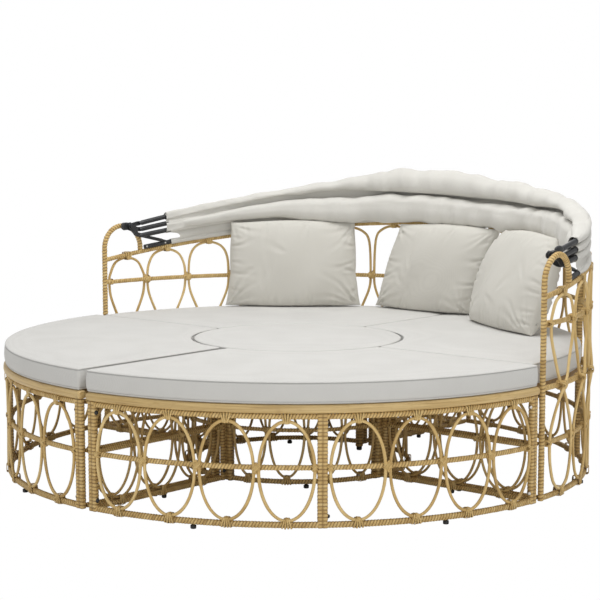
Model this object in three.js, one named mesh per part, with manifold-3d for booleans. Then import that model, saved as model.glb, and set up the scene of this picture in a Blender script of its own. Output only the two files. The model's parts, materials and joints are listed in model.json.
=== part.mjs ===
// Round outdoor daybed with a folding canopy: four quarter seats around a middle
// ottoman, on rattan-wrapped metal frames, with a backrest and a canopy of hoops
// behind the two rear quarters. Millimetres, +Z up, floor at z = 0, the origin on
// the floor at the middle of the circle. +Y is the back, +X the right side.
import * as THREE from 'three';
import { mergeVertices } from 'three/addons/utils/BufferGeometryUtils.js';
import Module from 'manifold-3d';

const wasm = await Module();
wasm.setup();

// ---------------------------------------------------------------- dimensions
const R_OUT = 900;            // outer radius of the round frame
const R_RAIL = 885;           // centre radius of the outer rails
const RAIL_W = 16;            // radial width of the wrapped rails
const SEAM = 12;              // half of the gap between two quarters
const FOOT_H = 12;            // height of a glide foot
const FOOT_R = 8;
const Z_LOW = 12;             // underside of the bottom rail
const RAIL_H = 15;            // height of the bottom rail
const Z_MID = 173;            // centre height of the base's middle rail
const Z_UP = 302;             // underside of the rail that carries the seat
const Z_SEAT = 317.7;         // top of that rail
const Z_CAP0 = 318;           // underside of the smooth cap rail and the deck
const Z_CAP1 = 342;           // top of the cap rail and the deck
const Z_CUSH0 = 342.4;        // underside of the cushions
const Z_CUSH1 = 403;          // top of the cushions
const POST_W = 28;            // width of the flat corner and middle posts
const CANE_R = 4.5;           // radius of the bent canes
const R_IN = 345;             // centre radius of the inner curved panels
const IN_W = 14;              // their thickness
const R_OTTO = 320;           // ottoman cushion radius
const BACK_MID = 511;         // height of the backrest's middle rail
const TOP_Z0 = 584;           // height of the top rail at its low ends (y = 0)
const TOP_K = 0.137;          // how fast the top rail climbs towards the back
const ARCH_TOP = 701;         // centre height of the arches at the ends
const PIVOT_Y = 110;          // canopy pivot line (parallel to X)
const PIVOT_Z = 700;
const BOW_R = 7;              // radius of the canopy tubes
const BOW_PLAN = 862;         // plan radius of the three moving bows
// slope of each folded bow and its drop below the pivot line
const BOWS = { front: [0.185, 0], second: [0.158, -20], third: [0.14, -41] };
const EYE = { front: 854.5, second: 850.5, third: 846.5 };   // |x| of the eye plates

// ---------------------------------------------------------------- materials
const mat = (color, roughness, metalness = 0) =>
  new THREE.MeshStandardMaterial({ color, roughness, metalness });
const RATTAN = mat(0xcda566, 0.55);
const CAP = mat(0xd9b377, 0.5);
const BLACK = mat(0x1e1f20, 0.5, 0.4);
const RUBBER = mat(0x101010, 0.8);
const CUSHION = mat(0xe2e1dc, 0.9);
const PILLOW = mat(0xd8d4ca, 0.9);
const CANOPY = mat(0xdad7ce, 0.85);

// ---------------------------------------------------------------- helpers
const rad = (d) => d * Math.PI / 180;
const deg = (r) => r * 180 / Math.PI;

// closed solid from a surface
function solid(geometry) {
  let g = geometry.clone();
  g.deleteAttribute('normal');
  g.deleteAttribute('uv');
  g = mergeVertices(g, 1e-3);
  const i = g.index.array;
  const tri = [];
  for (let k = 0; k < i.length; k += 3) {
    if (i[k] !== i[k + 1] && i[k + 1] !== i[k + 2] && i[k + 2] !== i[k]) tri.push(i[k], i[k + 1], i[k + 2]);
  }
  const m = new wasm.Manifold(new wasm.Mesh({
    numProp: 3,
    vertProperties: new Float32Array(g.attributes.position.array),
    triVerts: new Uint32Array(tri),
  }));
  return m;
}
function join(list) {
  let m = list[0];
  for (let k = 1; k < list.length; k++) m = m.add(list[k]);
  return m;
}
// named mesh from a solid, moved by a matrix (which may be a reflection)
function meshOf(name, m, material, matrix = new THREE.Matrix4()) {
  const out = m.getMesh();
  const g = new THREE.BufferGeometry();
  g.setAttribute('position', new THREE.BufferAttribute(new Float32Array(out.vertProperties), 3));
  const idx = Array.from(out.triVerts);
  if (matrix.determinant() < 0) {
    for (let k = 0; k < idx.length; k += 3) { const t = idx[k + 1]; idx[k + 1] = idx[k + 2]; idx[k + 2] = t; }
  }
  g.setIndex(idx);
  g.applyMatrix4(matrix);
  g.computeVertexNormals();
  const mesh = new THREE.Mesh(g, material);
  mesh.name = name;
  return mesh;
}
const box = (x0, x1, y0, y1, z0, z1) => {
  const g = new THREE.BoxGeometry(x1 - x0, y1 - y0, z1 - z0);
  g.translate((x0 + x1) / 2, (y0 + y1) / 2, (z0 + z1) / 2);
  return solid(g);
};
// box centred at radius r and angle a: d along the radius, w across it
const postAt = (r, a, d, w, z0, z1) => {
  const g = new THREE.BoxGeometry(d, w, z1 - z0);
  g.translate(r, 0, (z0 + z1) / 2);
  g.rotateZ(rad(a));
  return solid(g);
};
// part of a flat ring, in plan, between two angles
function sector(r0, r1, a0, a1, z0, z1, n, bevel = 0) {
  const s = new THREE.Shape();
  for (let k = 0; k <= n; k++) {
    const a = rad(a0 + (a1 - a0) * k / n);
    if (k === 0) s.moveTo(r1 * Math.cos(a), r1 * Math.sin(a)); else s.lineTo(r1 * Math.cos(a), r1 * Math.sin(a));
  }
  const m = Math.max(3, Math.round(n * Math.min(1, 0.35 + 0.65 * r0 / r1)));
  for (let k = m; k >= 0; k--) {
    const a = rad(a0 + (a1 - a0) * k / m);
    s.lineTo(r0 * Math.cos(a), r0 * Math.sin(a));
  }
  s.closePath();
  const opt = bevel
    ? { depth: z1 - z0 - 2 * bevel, bevelEnabled: true, bevelThickness: bevel, bevelSize: bevel, bevelOffset: -bevel, bevelSegments: 1, steps: 1 }
    : { depth: z1 - z0, bevelEnabled: false, steps: 1 };
  const g = new THREE.ExtrudeGeometry(s, opt);
  g.translate(0, 0, z0 + bevel);
  return g;
}
class ArcCurve extends THREE.Curve {
  constructor(r, a0, a1, zOf) { super(); Object.assign(this, { r, a0, a1, zOf }); }
  getPoint(t, target = new THREE.Vector3()) {
    const a = rad(this.a0 + (this.a1 - this.a0) * t);
    const x = this.r * Math.cos(a);
    const y = this.r * Math.sin(a);
    return target.set(x, y, this.zOf(x, y));
  }
}
const disc = (r, sides) => {
  const s = new THREE.Shape();
  for (let k = 0; k < sides; k++) {
    const a = (k + 0.5) * 2 * Math.PI / sides;
    if (k === 0) s.moveTo(r * Math.cos(a), r * Math.sin(a)); else s.lineTo(r * Math.cos(a), r * Math.sin(a));
  }
  s.closePath();
  return s;
};
const tube = (curve, r, sides, steps) =>
  solid(new THREE.ExtrudeGeometry(disc(r, sides), { steps, bevelEnabled: false, extrudePath: curve }));
// closed loop of cane through the given points [s, z] of a panel's face, rounded to
// three sides: a flat one at depth lo, against the rails, and a ridge at depth hi
function loop(pts, place, half, lo, hi) {
  const n = pts.length;
  const pos = [];
  for (let k = 0; k < n; k++) {
    const [s0, z0] = pts[(k + n - 1) % n];
    const [s1, z1] = pts[(k + 1) % n];
    const l = Math.hypot(s1 - s0, z1 - z0);
    const ns = (z1 - z0) / l;
    const nz = -(s1 - s0) / l;
    const [s, z] = pts[k];
    pos.push(...place(s + ns * half, z + nz * half, lo), ...place(s - ns * half, z - nz * half, lo), ...place(s, z, hi));
  }
  let idx = [];
  for (let k = 0; k < n; k++) for (let j = 0; j < 3; j++) {
    const a = 3 * k + j;
    const b = 3 * k + (j + 1) % 3;
    const c = 3 * ((k + 1) % n) + j;
    const d = 3 * ((k + 1) % n) + (j + 1) % 3;
    idx.push(a, c, b, b, c, d);
  }
  const build = () => {
    const g = new THREE.BufferGeometry();
    g.setAttribute('position', new THREE.BufferAttribute(new Float32Array(pos), 3));
    g.setIndex(idx);
    return solid(g);
  };
  let m = build();
  if (m.volume() < 0) {
    idx = idx.map((v, k) => (k % 3 === 1 ? idx[k + 1] : k % 3 === 2 ? idx[k - 1] : v));
    m = build();
  }
  return m;
}
const bend = (r, a, z) => new THREE.Vector3(r * Math.cos(rad(a)), r * Math.sin(rad(a)), z);
const topZ = (x, y) => TOP_Z0 + TOP_K * y;

// the eight ovals of one quarter lie in two groups of four, either side of the middle post
const A_CORNER = deg((SEAM + POST_W) / R_RAIL);
const A_POST = deg(POST_W / 2 / R_RAIL);
function ovalCentres() {
  const span = 45 - A_POST - A_CORNER;
  const out = [];
  for (let k = 0; k < 4; k++) out.push(A_CORNER + span * (k + 0.5) / 4);
  return [...out, ...out.map((a) => 90 - a).reverse()];
}
const OVAL_PITCH = (45 - A_POST - A_CORNER) / 4;
const OVAL_W = rad(OVAL_PITCH) * R_RAIL / 2 - CANE_R - 2;       // half-width of a cane's centre line

const ellipse = (w, h, n, zc) => Array.from({ length: n }, (_, k) => {
  const t = 2 * Math.PI * k / n + Math.PI / 2;
  return [w * Math.cos(t), zc + h * Math.sin(t)];
});
// places a point of a curved panel: s along the arc of radius r about angle a
const onArc = (r, a) => (s, z, d) => {
  const t = rad(a) + s / r;
  return [d * Math.cos(t), d * Math.sin(t), z];
};

// ---------------------------------------------------------------- the quarters
// Each piece is made for the quarter between 0 and 90 degrees. The front right one
// is that quarter turned by -90 degrees, and the left ones are mirror images.
const a0 = deg(SEAM / R_RAIL);

function frontBasePanel() {
  const parts = [
    solid(sector(R_RAIL - 8, R_RAIL + 8, a0, 90 - a0, Z_LOW, Z_LOW + RAIL_H, 10)),
    solid(sector(R_RAIL - 8, R_RAIL + 8, a0, 90 - a0, Z_UP, Z_SEAT, 10)),
    solid(sector(R_RAIL - 8, R_RAIL + 2, a0, 90 - a0, Z_MID - 6, Z_MID + 6, 10)),
    box(R_RAIL - 8, R_RAIL + 8, SEAM, SEAM + POST_W, Z_LOW, Z_SEAT),
    box(SEAM, SEAM + POST_W, R_RAIL - 8, R_RAIL + 8, Z_LOW, Z_SEAT),
    postAt(R_RAIL, 45, RAIL_W, POST_W, Z_LOW, Z_SEAT),
  ];
  for (const a of ovalCentres()) {
    parts.push(loop(ellipse(OVAL_W, (Z_UP - Z_LOW - RAIL_H) / 2, 10, (Z_UP + Z_LOW + RAIL_H) / 2), onArc(R_RAIL, a), CANE_R, R_RAIL + 2.5, R_RAIL + 10));
  }
  return join(parts);
}

// backrest and base in one welded panel, with an arch standing at its low end
const Z_RSEAT0 = 322;
const Z_RSEAT1 = 338;
const ARCH_Y0 = SEAM + 8;
const ARCH_Y1 = 172;
class ArchCurve extends THREE.Curve {
  constructor(z0) {
    super();
    const c = (ARCH_Y0 + ARCH_Y1) / 2;
    const h = (ARCH_Y1 - ARCH_Y0) / 2;
    const zc = ARCH_TOP - h;
    this.pts = [[ARCH_Y0, z0]];
    for (let k = 0; k <= 8; k++) {
      const t = Math.PI * (1 - k / 8);
      this.pts.push([c + h * Math.cos(t), zc + h * Math.sin(t)]);
    }
    this.pts.push([ARCH_Y1, topZ(0, ARCH_Y1)]);
    this.n = this.pts.length - 1;
  }
  getPoint(t, target = new THREE.Vector3()) {
    const f = Math.min(t * this.n, this.n - 1e-9);
    const i = Math.floor(f);
    const u = f - i;
    const y = this.pts[i][0] * (1 - u) + this.pts[i + 1][0] * u;
    const z = this.pts[i][1] * (1 - u) + this.pts[i + 1][1] * u;
    return target.set(Math.sqrt(R_RAIL * R_RAIL - y * y), y, z);
  }
  getPointAt(t, target) { return this.getPoint(t, target); }
  getTangentAt(t, target) { return this.getTangent(t, target); }
}
const mirrored = (prof) => [...prof, ...prof.slice(1, -1).reverse().map(([x, z]) => [-x, z])];
const onBack = (a) => (x, z, d) => onArc(R_RAIL, a)(x, z, d);
function rearLowLoop(a) {
  const w = OVAL_W;
  const prof = [[0, 325], [0.42, 287], [0.86, 222], [1, 160], [0.7, 66], [0, 28]];
  return loop(mirrored(prof.map(([f, z]) => [w * f, z])), onBack(a), CANE_R, R_RAIL + 5.5, R_RAIL + 14);
}
function rearHighLoop(a) {
  const w = OVAL_W;
  const zt = topZ(0, R_RAIL * Math.sin(rad(a))) - 1;
  const prof = [[0, 335], [0.44, 379], [0.87, 450], [1, 515], [0.8, zt - 32], [0, zt]];
  return loop(mirrored(prof.map(([f, z]) => [w * f, z])), onBack(a), CANE_R, R_RAIL + 5.5, R_RAIL + 14);
}
function rearBackPanel() {
  const parts = [
    solid(sector(R_RAIL - 8, R_RAIL + 8, a0 + 0.4, 90 - a0, Z_LOW, Z_LOW + RAIL_H, 10)),
    solid(sector(R_RAIL - 7, R_RAIL + 5, a0 + 0.4, 90 - a0, Z_MID - 6, Z_MID + 6, 10)),
    solid(sector(R_RAIL - 8, R_RAIL + 8, a0 + 0.4, 90 - a0, Z_RSEAT0, Z_RSEAT1, 10)),
    solid(sector(R_RAIL - 7, R_RAIL + 5, a0 + 0.4, 90 - a0, BACK_MID - 6, BACK_MID + 6, 10)),
    tube(new ArcCurve(R_RAIL, a0 + 0.4, 90 - a0, topZ), 7.5, 6, 10),
    tube(new ArchCurve(Z_LOW), 8, 6, 10),
    postAt(R_RAIL, 45, RAIL_W, POST_W, Z_LOW, topZ(0, R_RAIL * Math.SQRT1_2)),
    box(SEAM, SEAM + 16, R_OUT - 16, R_OUT - 0.1, Z_LOW, topZ(0, R_RAIL) + 2),
  ];
  for (const a of ovalCentres()) parts.push(rearLowLoop(a), rearHighLoop(a));
  return join(parts);
}

// straight panel along a radius, next to the seam at angle 0, with its own glide foot
function endPanel() {
  const x0 = R_IN + IN_W / 2 + 0.5;
  const x1 = R_RAIL - 9.8;
  const y0 = SEAM;
  const y1 = SEAM + 12;
  const parts = [
    box(x0, x1, y0, y1, Z_LOW, Z_LOW + RAIL_H),
    box(x0, x1, y0 + 6.5, y1, Z_MID - 6, Z_MID + 6),
    box(x0, x1, y0, y1, Z_UP, Z_SEAT),
    box(x0, x0 + 16, y0, y1, Z_LOW, Z_SEAT),
    box(x1 - 16, x1, y0, y1, Z_LOW, Z_SEAT),
  ];
  const pitch = (x1 - x0 - 32) / 3;
  for (let k = 0; k < 3; k++) {
    const c = x0 + 16 + pitch * (k + 0.5);
    parts.push(loop(ellipse(pitch / 2 - 5, (Z_UP - Z_LOW - RAIL_H) / 2, 8, (Z_UP + Z_LOW + RAIL_H) / 2), (s, z, d) => [c + s, d, z], 4, y0 + 6, y0 + 0.2));
  }
  const foot = new THREE.CylinderGeometry(FOOT_R - 1, FOOT_R - 1, FOOT_H + 4, 8);
  foot.rotateX(Math.PI / 2);
  foot.translate(606, SEAM + 6, (FOOT_H + 4) / 2);
  parts.push(solid(foot));
  return join(parts);
}

function innerPanel() {
  const r0 = R_IN - IN_W / 2;
  const r1 = R_IN + IN_W / 2;
  const s = deg(SEAM / R_IN);
  const parts = [
    solid(sector(r0, r1, s, 90 - s, Z_LOW, Z_LOW + RAIL_H, 6)),
    solid(sector(R_IN, r1, s, 90 - s, Z_MID - 6, Z_MID + 6, 6)),
    solid(sector(r0, r1, s, 90 - s, Z_UP, Z_SEAT, 6)),
    box(r0, r1, SEAM, SEAM + POST_W, Z_LOW, Z_SEAT),
    box(SEAM, SEAM + POST_W, r0, r1, Z_LOW, Z_SEAT),
  ];
  const c0 = deg((SEAM + POST_W) / R_IN);
  const pitch = (90 - 2 * c0) / 4;
  for (let k = 0; k < 4; k++) {
    parts.push(loop(ellipse(rad(pitch) * R_IN / 2 - 5, (Z_UP - Z_LOW - RAIL_H) / 2, 8, (Z_UP + Z_LOW + RAIL_H) / 2), onArc(R_IN, c0 + pitch * (k + 0.5)), 4, R_IN - 2.5, r0 + 0.3));
  }
  return join(parts);
}

// seat deck: a frame with two radial bars and a thin panel that carries the cushion
function seatDeck() {
  const s0 = deg(SEAM / R_IN);
  const s1 = deg(SEAM / 855);
  const parts = [
    solid(sector(R_IN - 7, R_IN + 7, s0, 90 - s0, Z_CAP0, Z_CAP1, 6)),
    solid(sector(848, 862, s1, 90 - s1, Z_CAP0, Z_CAP1, 10)),
    box(340, 858, SEAM, SEAM + 14, Z_CAP0, Z_CAP1),
    box(SEAM, SEAM + 14, 340, 858, Z_CAP0, Z_CAP1),
  ];
  for (const a of [30, 60]) parts.push(postAt(600, a, 508, 22, Z_CAP1 - 14, Z_CAP1 - 0.4));
  parts.push(solid(sector(R_IN, 855, s0 + 0.3, 90 - s0 - 0.3, Z_CAP1 - 4, Z_CAP1 - 0.2, 10)));
  return join(parts);
}

// smooth bent cap rail on the front quarters
function capRail() {
  const s = deg(SEAM / R_OUT);
  return solid(sector(870, R_OUT, s, 90 - s, Z_CAP0, Z_CAP1, 14, 4));
}

// wedge cushion with a flat top and eased edges
function wedgeCushion(rOut) {
  const half = 6;
  const r0 = 331;
  const s = new THREE.Shape();
  const n = 12;
  const pts = [];
  const o0 = Math.asin(half / rOut);
  for (let k = 0; k <= n; k++) {
    const a = o0 + (Math.PI / 2 - 2 * o0) * k / n;
    pts.push([rOut * Math.cos(a), rOut * Math.sin(a)]);
  }
  const i0 = Math.asin(half / r0);
  for (let k = 8; k >= 0; k--) {
    const a = i0 + (Math.PI / 2 - 2 * i0) * k / 8;
    pts.push([r0 * Math.cos(a), r0 * Math.sin(a)]);
  }
  pts.forEach(([x, y], k) => (k ? s.lineTo(x, y) : s.moveTo(x, y)));
  s.closePath();
  const g = new THREE.ExtrudeGeometry(s, { depth: Z_CUSH1 - Z_CUSH0 - 14, bevelEnabled: true, bevelThickness: 7, bevelSize: 6, bevelOffset: -6, bevelSegments: 1, steps: 1 });
  g.translate(0, 0, Z_CUSH0 + 7);
  return solid(g);
}

const IDENT = new THREE.Matrix4();
const TURN = new THREE.Matrix4().makeRotationZ(-Math.PI / 2);
const MIRROR = new THREE.Matrix4().makeScale(-1, 1, 1);
const SWAP = new THREE.Matrix4().set(0, 1, 0, 0, 1, 0, 0, 0, 0, 0, 1, 0, 0, 0, 0, 1);
const mul = (...m) => m.reduce((p, q) => p.clone().multiply(q), new THREE.Matrix4());

const group = new THREE.Group();
group.name = 'daybed';
const add = (...args) => group.add(meshOf(...args));

const basePanel = frontBasePanel();
const backPanel = rearBackPanel();
const end = endPanel();
const inner = innerPanel();
const deck = seatDeck();
const cap = capRail();
const cushFront = wedgeCushion(895);
const cushRear = wedgeCushion(868);

for (const [side, m] of [['right', IDENT], ['left', MIRROR]]) {
  const f = mul(m, TURN);
  add(`front_${side}_base_panel`, basePanel, RATTAN, f);
  add(`front_${side}_inner_panel`, inner, RATTAN, f);
  add(`front_${side}_middle_end_panel`, end, RATTAN, f);
  add(`front_${side}_side_end_panel`, end, RATTAN, mul(f, SWAP));
  add(`front_${side}_seat_deck`, deck, RATTAN, f);
  add(`front_${side}_cap_rail`, cap, CAP, f);
  add(`front_${side}_seat_cushion`, cushFront, CUSHION, f);
  add(`rear_${side}_back_panel`, backPanel, RATTAN, m);
  add(`rear_${side}_inner_panel`, inner, RATTAN, m);
  add(`rear_${side}_side_end_panel`, end, RATTAN, m);
  add(`rear_${side}_middle_end_panel`, end, RATTAN, mul(m, SWAP));
  add(`rear_${side}_seat_deck`, deck, RATTAN, m);
  add(`rear_${side}_seat_cushion`, cushRear, CUSHION, m);
}

// glide feet under the curved panels
{
  const g = new THREE.CylinderGeometry(FOOT_R, FOOT_R - 1, FOOT_H - 0.3, 8);
  g.rotateX(Math.PI / 2);
  g.translate(0, 0, (FOOT_H - 0.3) / 2);
  const foot = solid(g);
  const spots = { front_right: -90, rear_right: 0, rear_left: 90, front_left: 180 };
  for (const [q, start] of Object.entries(spots)) {
    [[22.5, R_RAIL], [67.5, R_RAIL], [45, R_IN]].forEach(([a, r], k) => {
      const t = rad(start + a);
      add(`${q}_glide_foot_${k + 1}`, foot, RUBBER, new THREE.Matrix4().makeTranslation(r * Math.cos(t), r * Math.sin(t), 0));
    });
  }
}

// ---------------------------------------------------------------- the ottoman
{
  const parts = [];
  const ring = disc(324, 24);
  ring.holes.push(new THREE.Path(disc(300, 24).getPoints().reverse()));
  const g = new THREE.ExtrudeGeometry(ring, { depth: Z_SEAT - 292, bevelEnabled: false });
  g.translate(0, 0, 292);
  parts.push(solid(g));
  parts.push(box(-306, 306, -10, 10, 300, Z_SEAT));
  parts.push(box(-10, 10, -306, 306, 300, Z_SEAT));
  for (const a of [0, 90, 180, 270]) {
    parts.push(postAt(308, a, 22, POST_W, FOOT_H, 296));
    const f = new THREE.CylinderGeometry(FOOT_R, FOOT_R - 1, FOOT_H + 2, 10);
    f.rotateX(Math.PI / 2);
    f.translate(308, 0, (FOOT_H + 2) / 2);
    f.rotateZ(rad(a));
    parts.push(solid(f));
  }
  add('ottoman_frame', join(parts), RATTAN);
  const top = new THREE.ExtrudeGeometry(disc(324, 24), { depth: Z_CAP1 - Z_CAP0, bevelEnabled: false });
  top.translate(0, 0, Z_CAP0);
  add('ottoman_top', solid(top), CAP);
  const c = new THREE.ExtrudeGeometry(disc(R_OTTO, 28), { depth: Z_CUSH1 - Z_CUSH0 - 14, bevelEnabled: true, bevelThickness: 7, bevelSize: 6, bevelOffset: -6, bevelSegments: 1 });
  c.translate(0, 0, Z_CUSH0 + 7);
  add('ottoman_cushion', solid(c), CUSHION);
}

// ---------------------------------------------------------------- throw pillows
// w wide, h tall, t thick; at: the middle of the lower edge; face: the way that it
// looks, in degrees in plan; lean: how far it tips back, in degrees
function pillow(name, w, h, t, at, face, lean) {
  const n = 6;
  const shape = (u, v) => Math.pow(Math.max(0, (1 - u * u * u * u) * (1 - v * v * v * v)), 0.5);
  const front = new THREE.PlaneGeometry(w, h, n, n);
  const back = new THREE.PlaneGeometry(w, h, n, n);
  const place = (g, sign) => {
    const p = g.attributes.position;
    for (let k = 0; k < p.count; k++) {
      const u = p.getX(k) / (w / 2);
      const v = p.getY(k) / (h / 2);
      const pinch = 1 - 0.045 * (1 - Math.abs(u * v));
      p.setXYZ(k, p.getX(k) * pinch, p.getY(k) * pinch, sign * t / 2 * shape(u, v));
    }
  };
  place(front, 1);
  place(back, -1);
  const idx = Array.from(front.index.array);
  const rev = Array.from(back.index.array);
  for (let k = 0; k < rev.length; k += 3) { const s = rev[k + 1]; rev[k + 1] = rev[k + 2]; rev[k + 2] = s; }
  const off = front.attributes.position.count;
  const g = new THREE.BufferGeometry();
  g.setAttribute('position', new THREE.BufferAttribute(new Float32Array([...front.attributes.position.array, ...back.attributes.position.array]), 3));
  g.setIndex([...idx, ...rev.map((k) => k + off)]);
  g.translate(0, h / 2, 0);
  g.rotateX(rad(90 - lean));          // stand it up: its face now looks along -Y
  g.rotateZ(rad(face + 90));
  g.translate(...at);
  add(name, solid(g), PILLOW);
}
pillow('left_pillow', 460, 300, 118, [-534, 596, 405], -49.2, 2);
pillow('middle_pillow', 460, 300, 118, [-92, 784, 405], -90, 2);
pillow('right_pillow', 460, 312, 118, [372, 553, 405], -119.4, 19);

// ---------------------------------------------------------------- the canopy
const pivotX = (x0, x1, r, sides = 8) => {
  const g = new THREE.CylinderGeometry(r, r, x1 - x0, sides);
  g.rotateZ(Math.PI / 2);
  g.translate((x0 + x1) / 2, PIVOT_Y, PIVOT_Z);
  return solid(g);
};
// flat strip in a plane of constant x, between two points (y, z), w wide
const strip = (x0, x1, ya, za, yb, zb, w) => {
  const L = Math.hypot(yb - ya, zb - za);
  const g = new THREE.BoxGeometry(x1 - x0, L, w);
  g.rotateX(Math.atan2(zb - za, yb - ya));
  g.translate((x0 + x1) / 2, (ya + yb) / 2, (za + zb) / 2);
  return solid(g);
};
const reflect = (m) => {
  const out = m.getMesh();
  const p = new Float32Array(out.vertProperties);
  for (let k = 0; k < p.length; k += 3) p[k] = -p[k];
  const t = new Uint32Array(out.triVerts);
  for (let k = 0; k < t.length; k += 3) { const s = t[k + 1]; t[k + 1] = t[k + 2]; t[k + 2] = s; }
  return new wasm.Manifold(new wasm.Mesh({ numProp: 3, vertProperties: p, triVerts: t }));
};
function movingBow(name, key) {
  const [k, drop] = BOWS[key];
  const zOf = (x, y) => PIVOT_Z + drop + k * (y - PIVOT_Y);
  const yStart = 150;
  const a = deg(Math.asin(yStart / BOW_PLAN));
  const hoop = tube(new ArcCurve(BOW_PLAN, a, 180 - a, zOf), BOW_R, 6, 20);
  const e = EYE[key];
  const zs = zOf(0, yStart + 4);
  let arm = pivotX(e - 1.5, e + 1.5, 12);
  if (key === 'third') {
    arm = arm.add(strip(e - 1.5, e + 1.5, PIVOT_Y + 2, PIVOT_Z - 2, PIVOT_Y + 20, PIVOT_Z - 31, 10));
    arm = arm.add(strip(e - 1.5, e + 1.5, PIVOT_Y + 17, PIVOT_Z - 29, yStart + 6, zs, 10));
  } else {
    arm = arm.add(strip(e - 1.5, e + 1.5, PIVOT_Y, PIVOT_Z, yStart + 6, zs, 11));
  }
  arm = arm.subtract(pivotX(e - 5, e + 5, 4.6));
  add(name, join([hoop, arm, reflect(arm)]), BLACK);
}
movingBow('canopy_front_bow', 'front');
movingBow('canopy_second_bow', 'second');
movingBow('canopy_third_bow', 'third');

// the fixed bow lies on the top rail
const REAR_BOW_R = 880;
const rearBowZ = (x, y) => topZ(x, y) + 14.4;
{
  const a = deg(Math.asin(188 / REAR_BOW_R));
  add('canopy_rear_bow', tube(new ArcCurve(REAR_BOW_R, a, 180 - a, rearBowZ), BOW_R, 6, 20), BLACK);
}
for (const [side, m] of [['right', IDENT], ['left', MIRROR]]) {
  // pivot bracket: a plate inside the arch, with two saddles against it
  const plate = new THREE.Shape();
  [[46, 690], [58, 708], [92, 724], [116, 724], [132, 708], [140, 700], [154, 676], [152, 664], [142, 664], [120, 682], [92, 684], [60, 684]]
    .forEach(([y, z], k) => (k ? plate.lineTo(y, z) : plate.moveTo(y, z)));
  plate.closePath();
  const g = new THREE.ExtrudeGeometry(plate, { depth: 3, bevelEnabled: false });
  g.applyMatrix4(new THREE.Matrix4().set(0, 0, 1, 857, 1, 0, 0, 0, 0, 1, 0, 0, 0, 0, 0, 1));
  let b = solid(g);
  b = b.add(box(859, 870, 86, 102, 697, 715));
  b = b.add(box(859, 868.5, 52, 62, 686, 702));
  b = b.subtract(pivotX(850, 869, 4.6));
  add(`${side}_canopy_bracket`, b, BLACK, m);
  const pin = pivotX(840.5, 864, 4).add(pivotX(837.5, 841, 9)).add(pivotX(860.6, 865.5, 7, 6));
  add(`${side}_canopy_pivot_bolt`, pin, BLACK, m);
  // strut from the bracket down to the fixed bow
  add(`${side}_canopy_strut`, strip(857, 859.7, 156.5, 664.5, 206, 640.5, 9), BLACK, m);
}

// canopy fabric, folded: two soft rolls inside the hoops and one strip on the rear bow
function roll(name, rc, hr, hz, zMid, k, env) {
  const n = 12;
  const sides = 8;
  const rings = [];
  for (let i = 0; i <= n; i++) {
    const a = 24 + 132 * i / n;
    const e = env(a);
    const ring = [];
    for (let j = 0; j < sides; j++) {
      const t = 2 * Math.PI * j / sides;
      const r = rc + (1 - e) * 0.45 * hr + e * hr * Math.cos(t);
      const x = r * Math.cos(rad(a));
      const y = r * Math.sin(rad(a));
      ring.push([x, y, zMid + k * (y - PIVOT_Y) + e * hz * Math.sin(t)]);
    }
    rings.push(ring);
  }
  const pos = [];
  const idx = [];
  rings.forEach((ring) => ring.forEach((p) => pos.push(...p)));
  for (let i = 0; i < n; i++) for (let j = 0; j < sides; j++) {
    const p = i * sides + j;
    const q = i * sides + (j + 1) % sides;
    idx.push(p, p + sides, q, q, p + sides, q + sides);
  }
  for (let j = 1; j < sides - 1; j++) {
    idx.push(0, j, j + 1);
    const o = n * sides;
    idx.push(o, o + j + 1, o + j);
  }
  const g = new THREE.BufferGeometry();
  g.setAttribute('position', new THREE.BufferAttribute(new Float32Array(pos), 3));
  g.setIndex(idx);
  add(name, solid(g), CANOPY);
}
const envelope = (a) => 0.34 + 0.66 * Math.pow(Math.max(0, Math.sin(Math.PI * (a - 24) / 132)), 0.5);
roll('canopy_front_fabric', 821, 31, 38, 712, 0.185, envelope);
roll('canopy_middle_fabric', 819, 32, 38, 692, 0.096, envelope);
{
  const a = 14;
  const g = sector(864, 869, a, 180 - a, 0, 1, 18);
  const p = g.attributes.position;
  for (let i = 0; i < p.count; i++) {
    const y = p.getY(i);
    const lo = rearBowZ(0, y) + BOW_R + 1.5;
    const hi = PIVOT_Z - 41 + 0.14 * (y - PIVOT_Y) - BOW_R - 1.5;
    p.setZ(i, p.getZ(i) > 0.5 ? hi : lo);
  }
  add('canopy_rear_fabric', solid(g), CANOPY);
}

// spring clips that hold the two rear quarters together under the seat
for (const [k, y] of [[1, 532], [2, 695]]) {
  const parts = [
    box(-SEAM - 15.5, SEAM + 15.5, y - 12, y + 12, 297.5, 301.6),
    box(-SEAM - 15.5, -SEAM - 12.4, y - 12, y + 12, 297.5, 314),
    box(SEAM + 12.4, SEAM + 15.5, y - 12, y + 12, 297.5, 314),
  ];
  add(`rear_section_clip_${k}`, join(parts), BLACK);
}

export default group;
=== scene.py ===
"""Round outdoor daybed with a folding canopy: the look of every piece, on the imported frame."""
import json
import math

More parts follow.
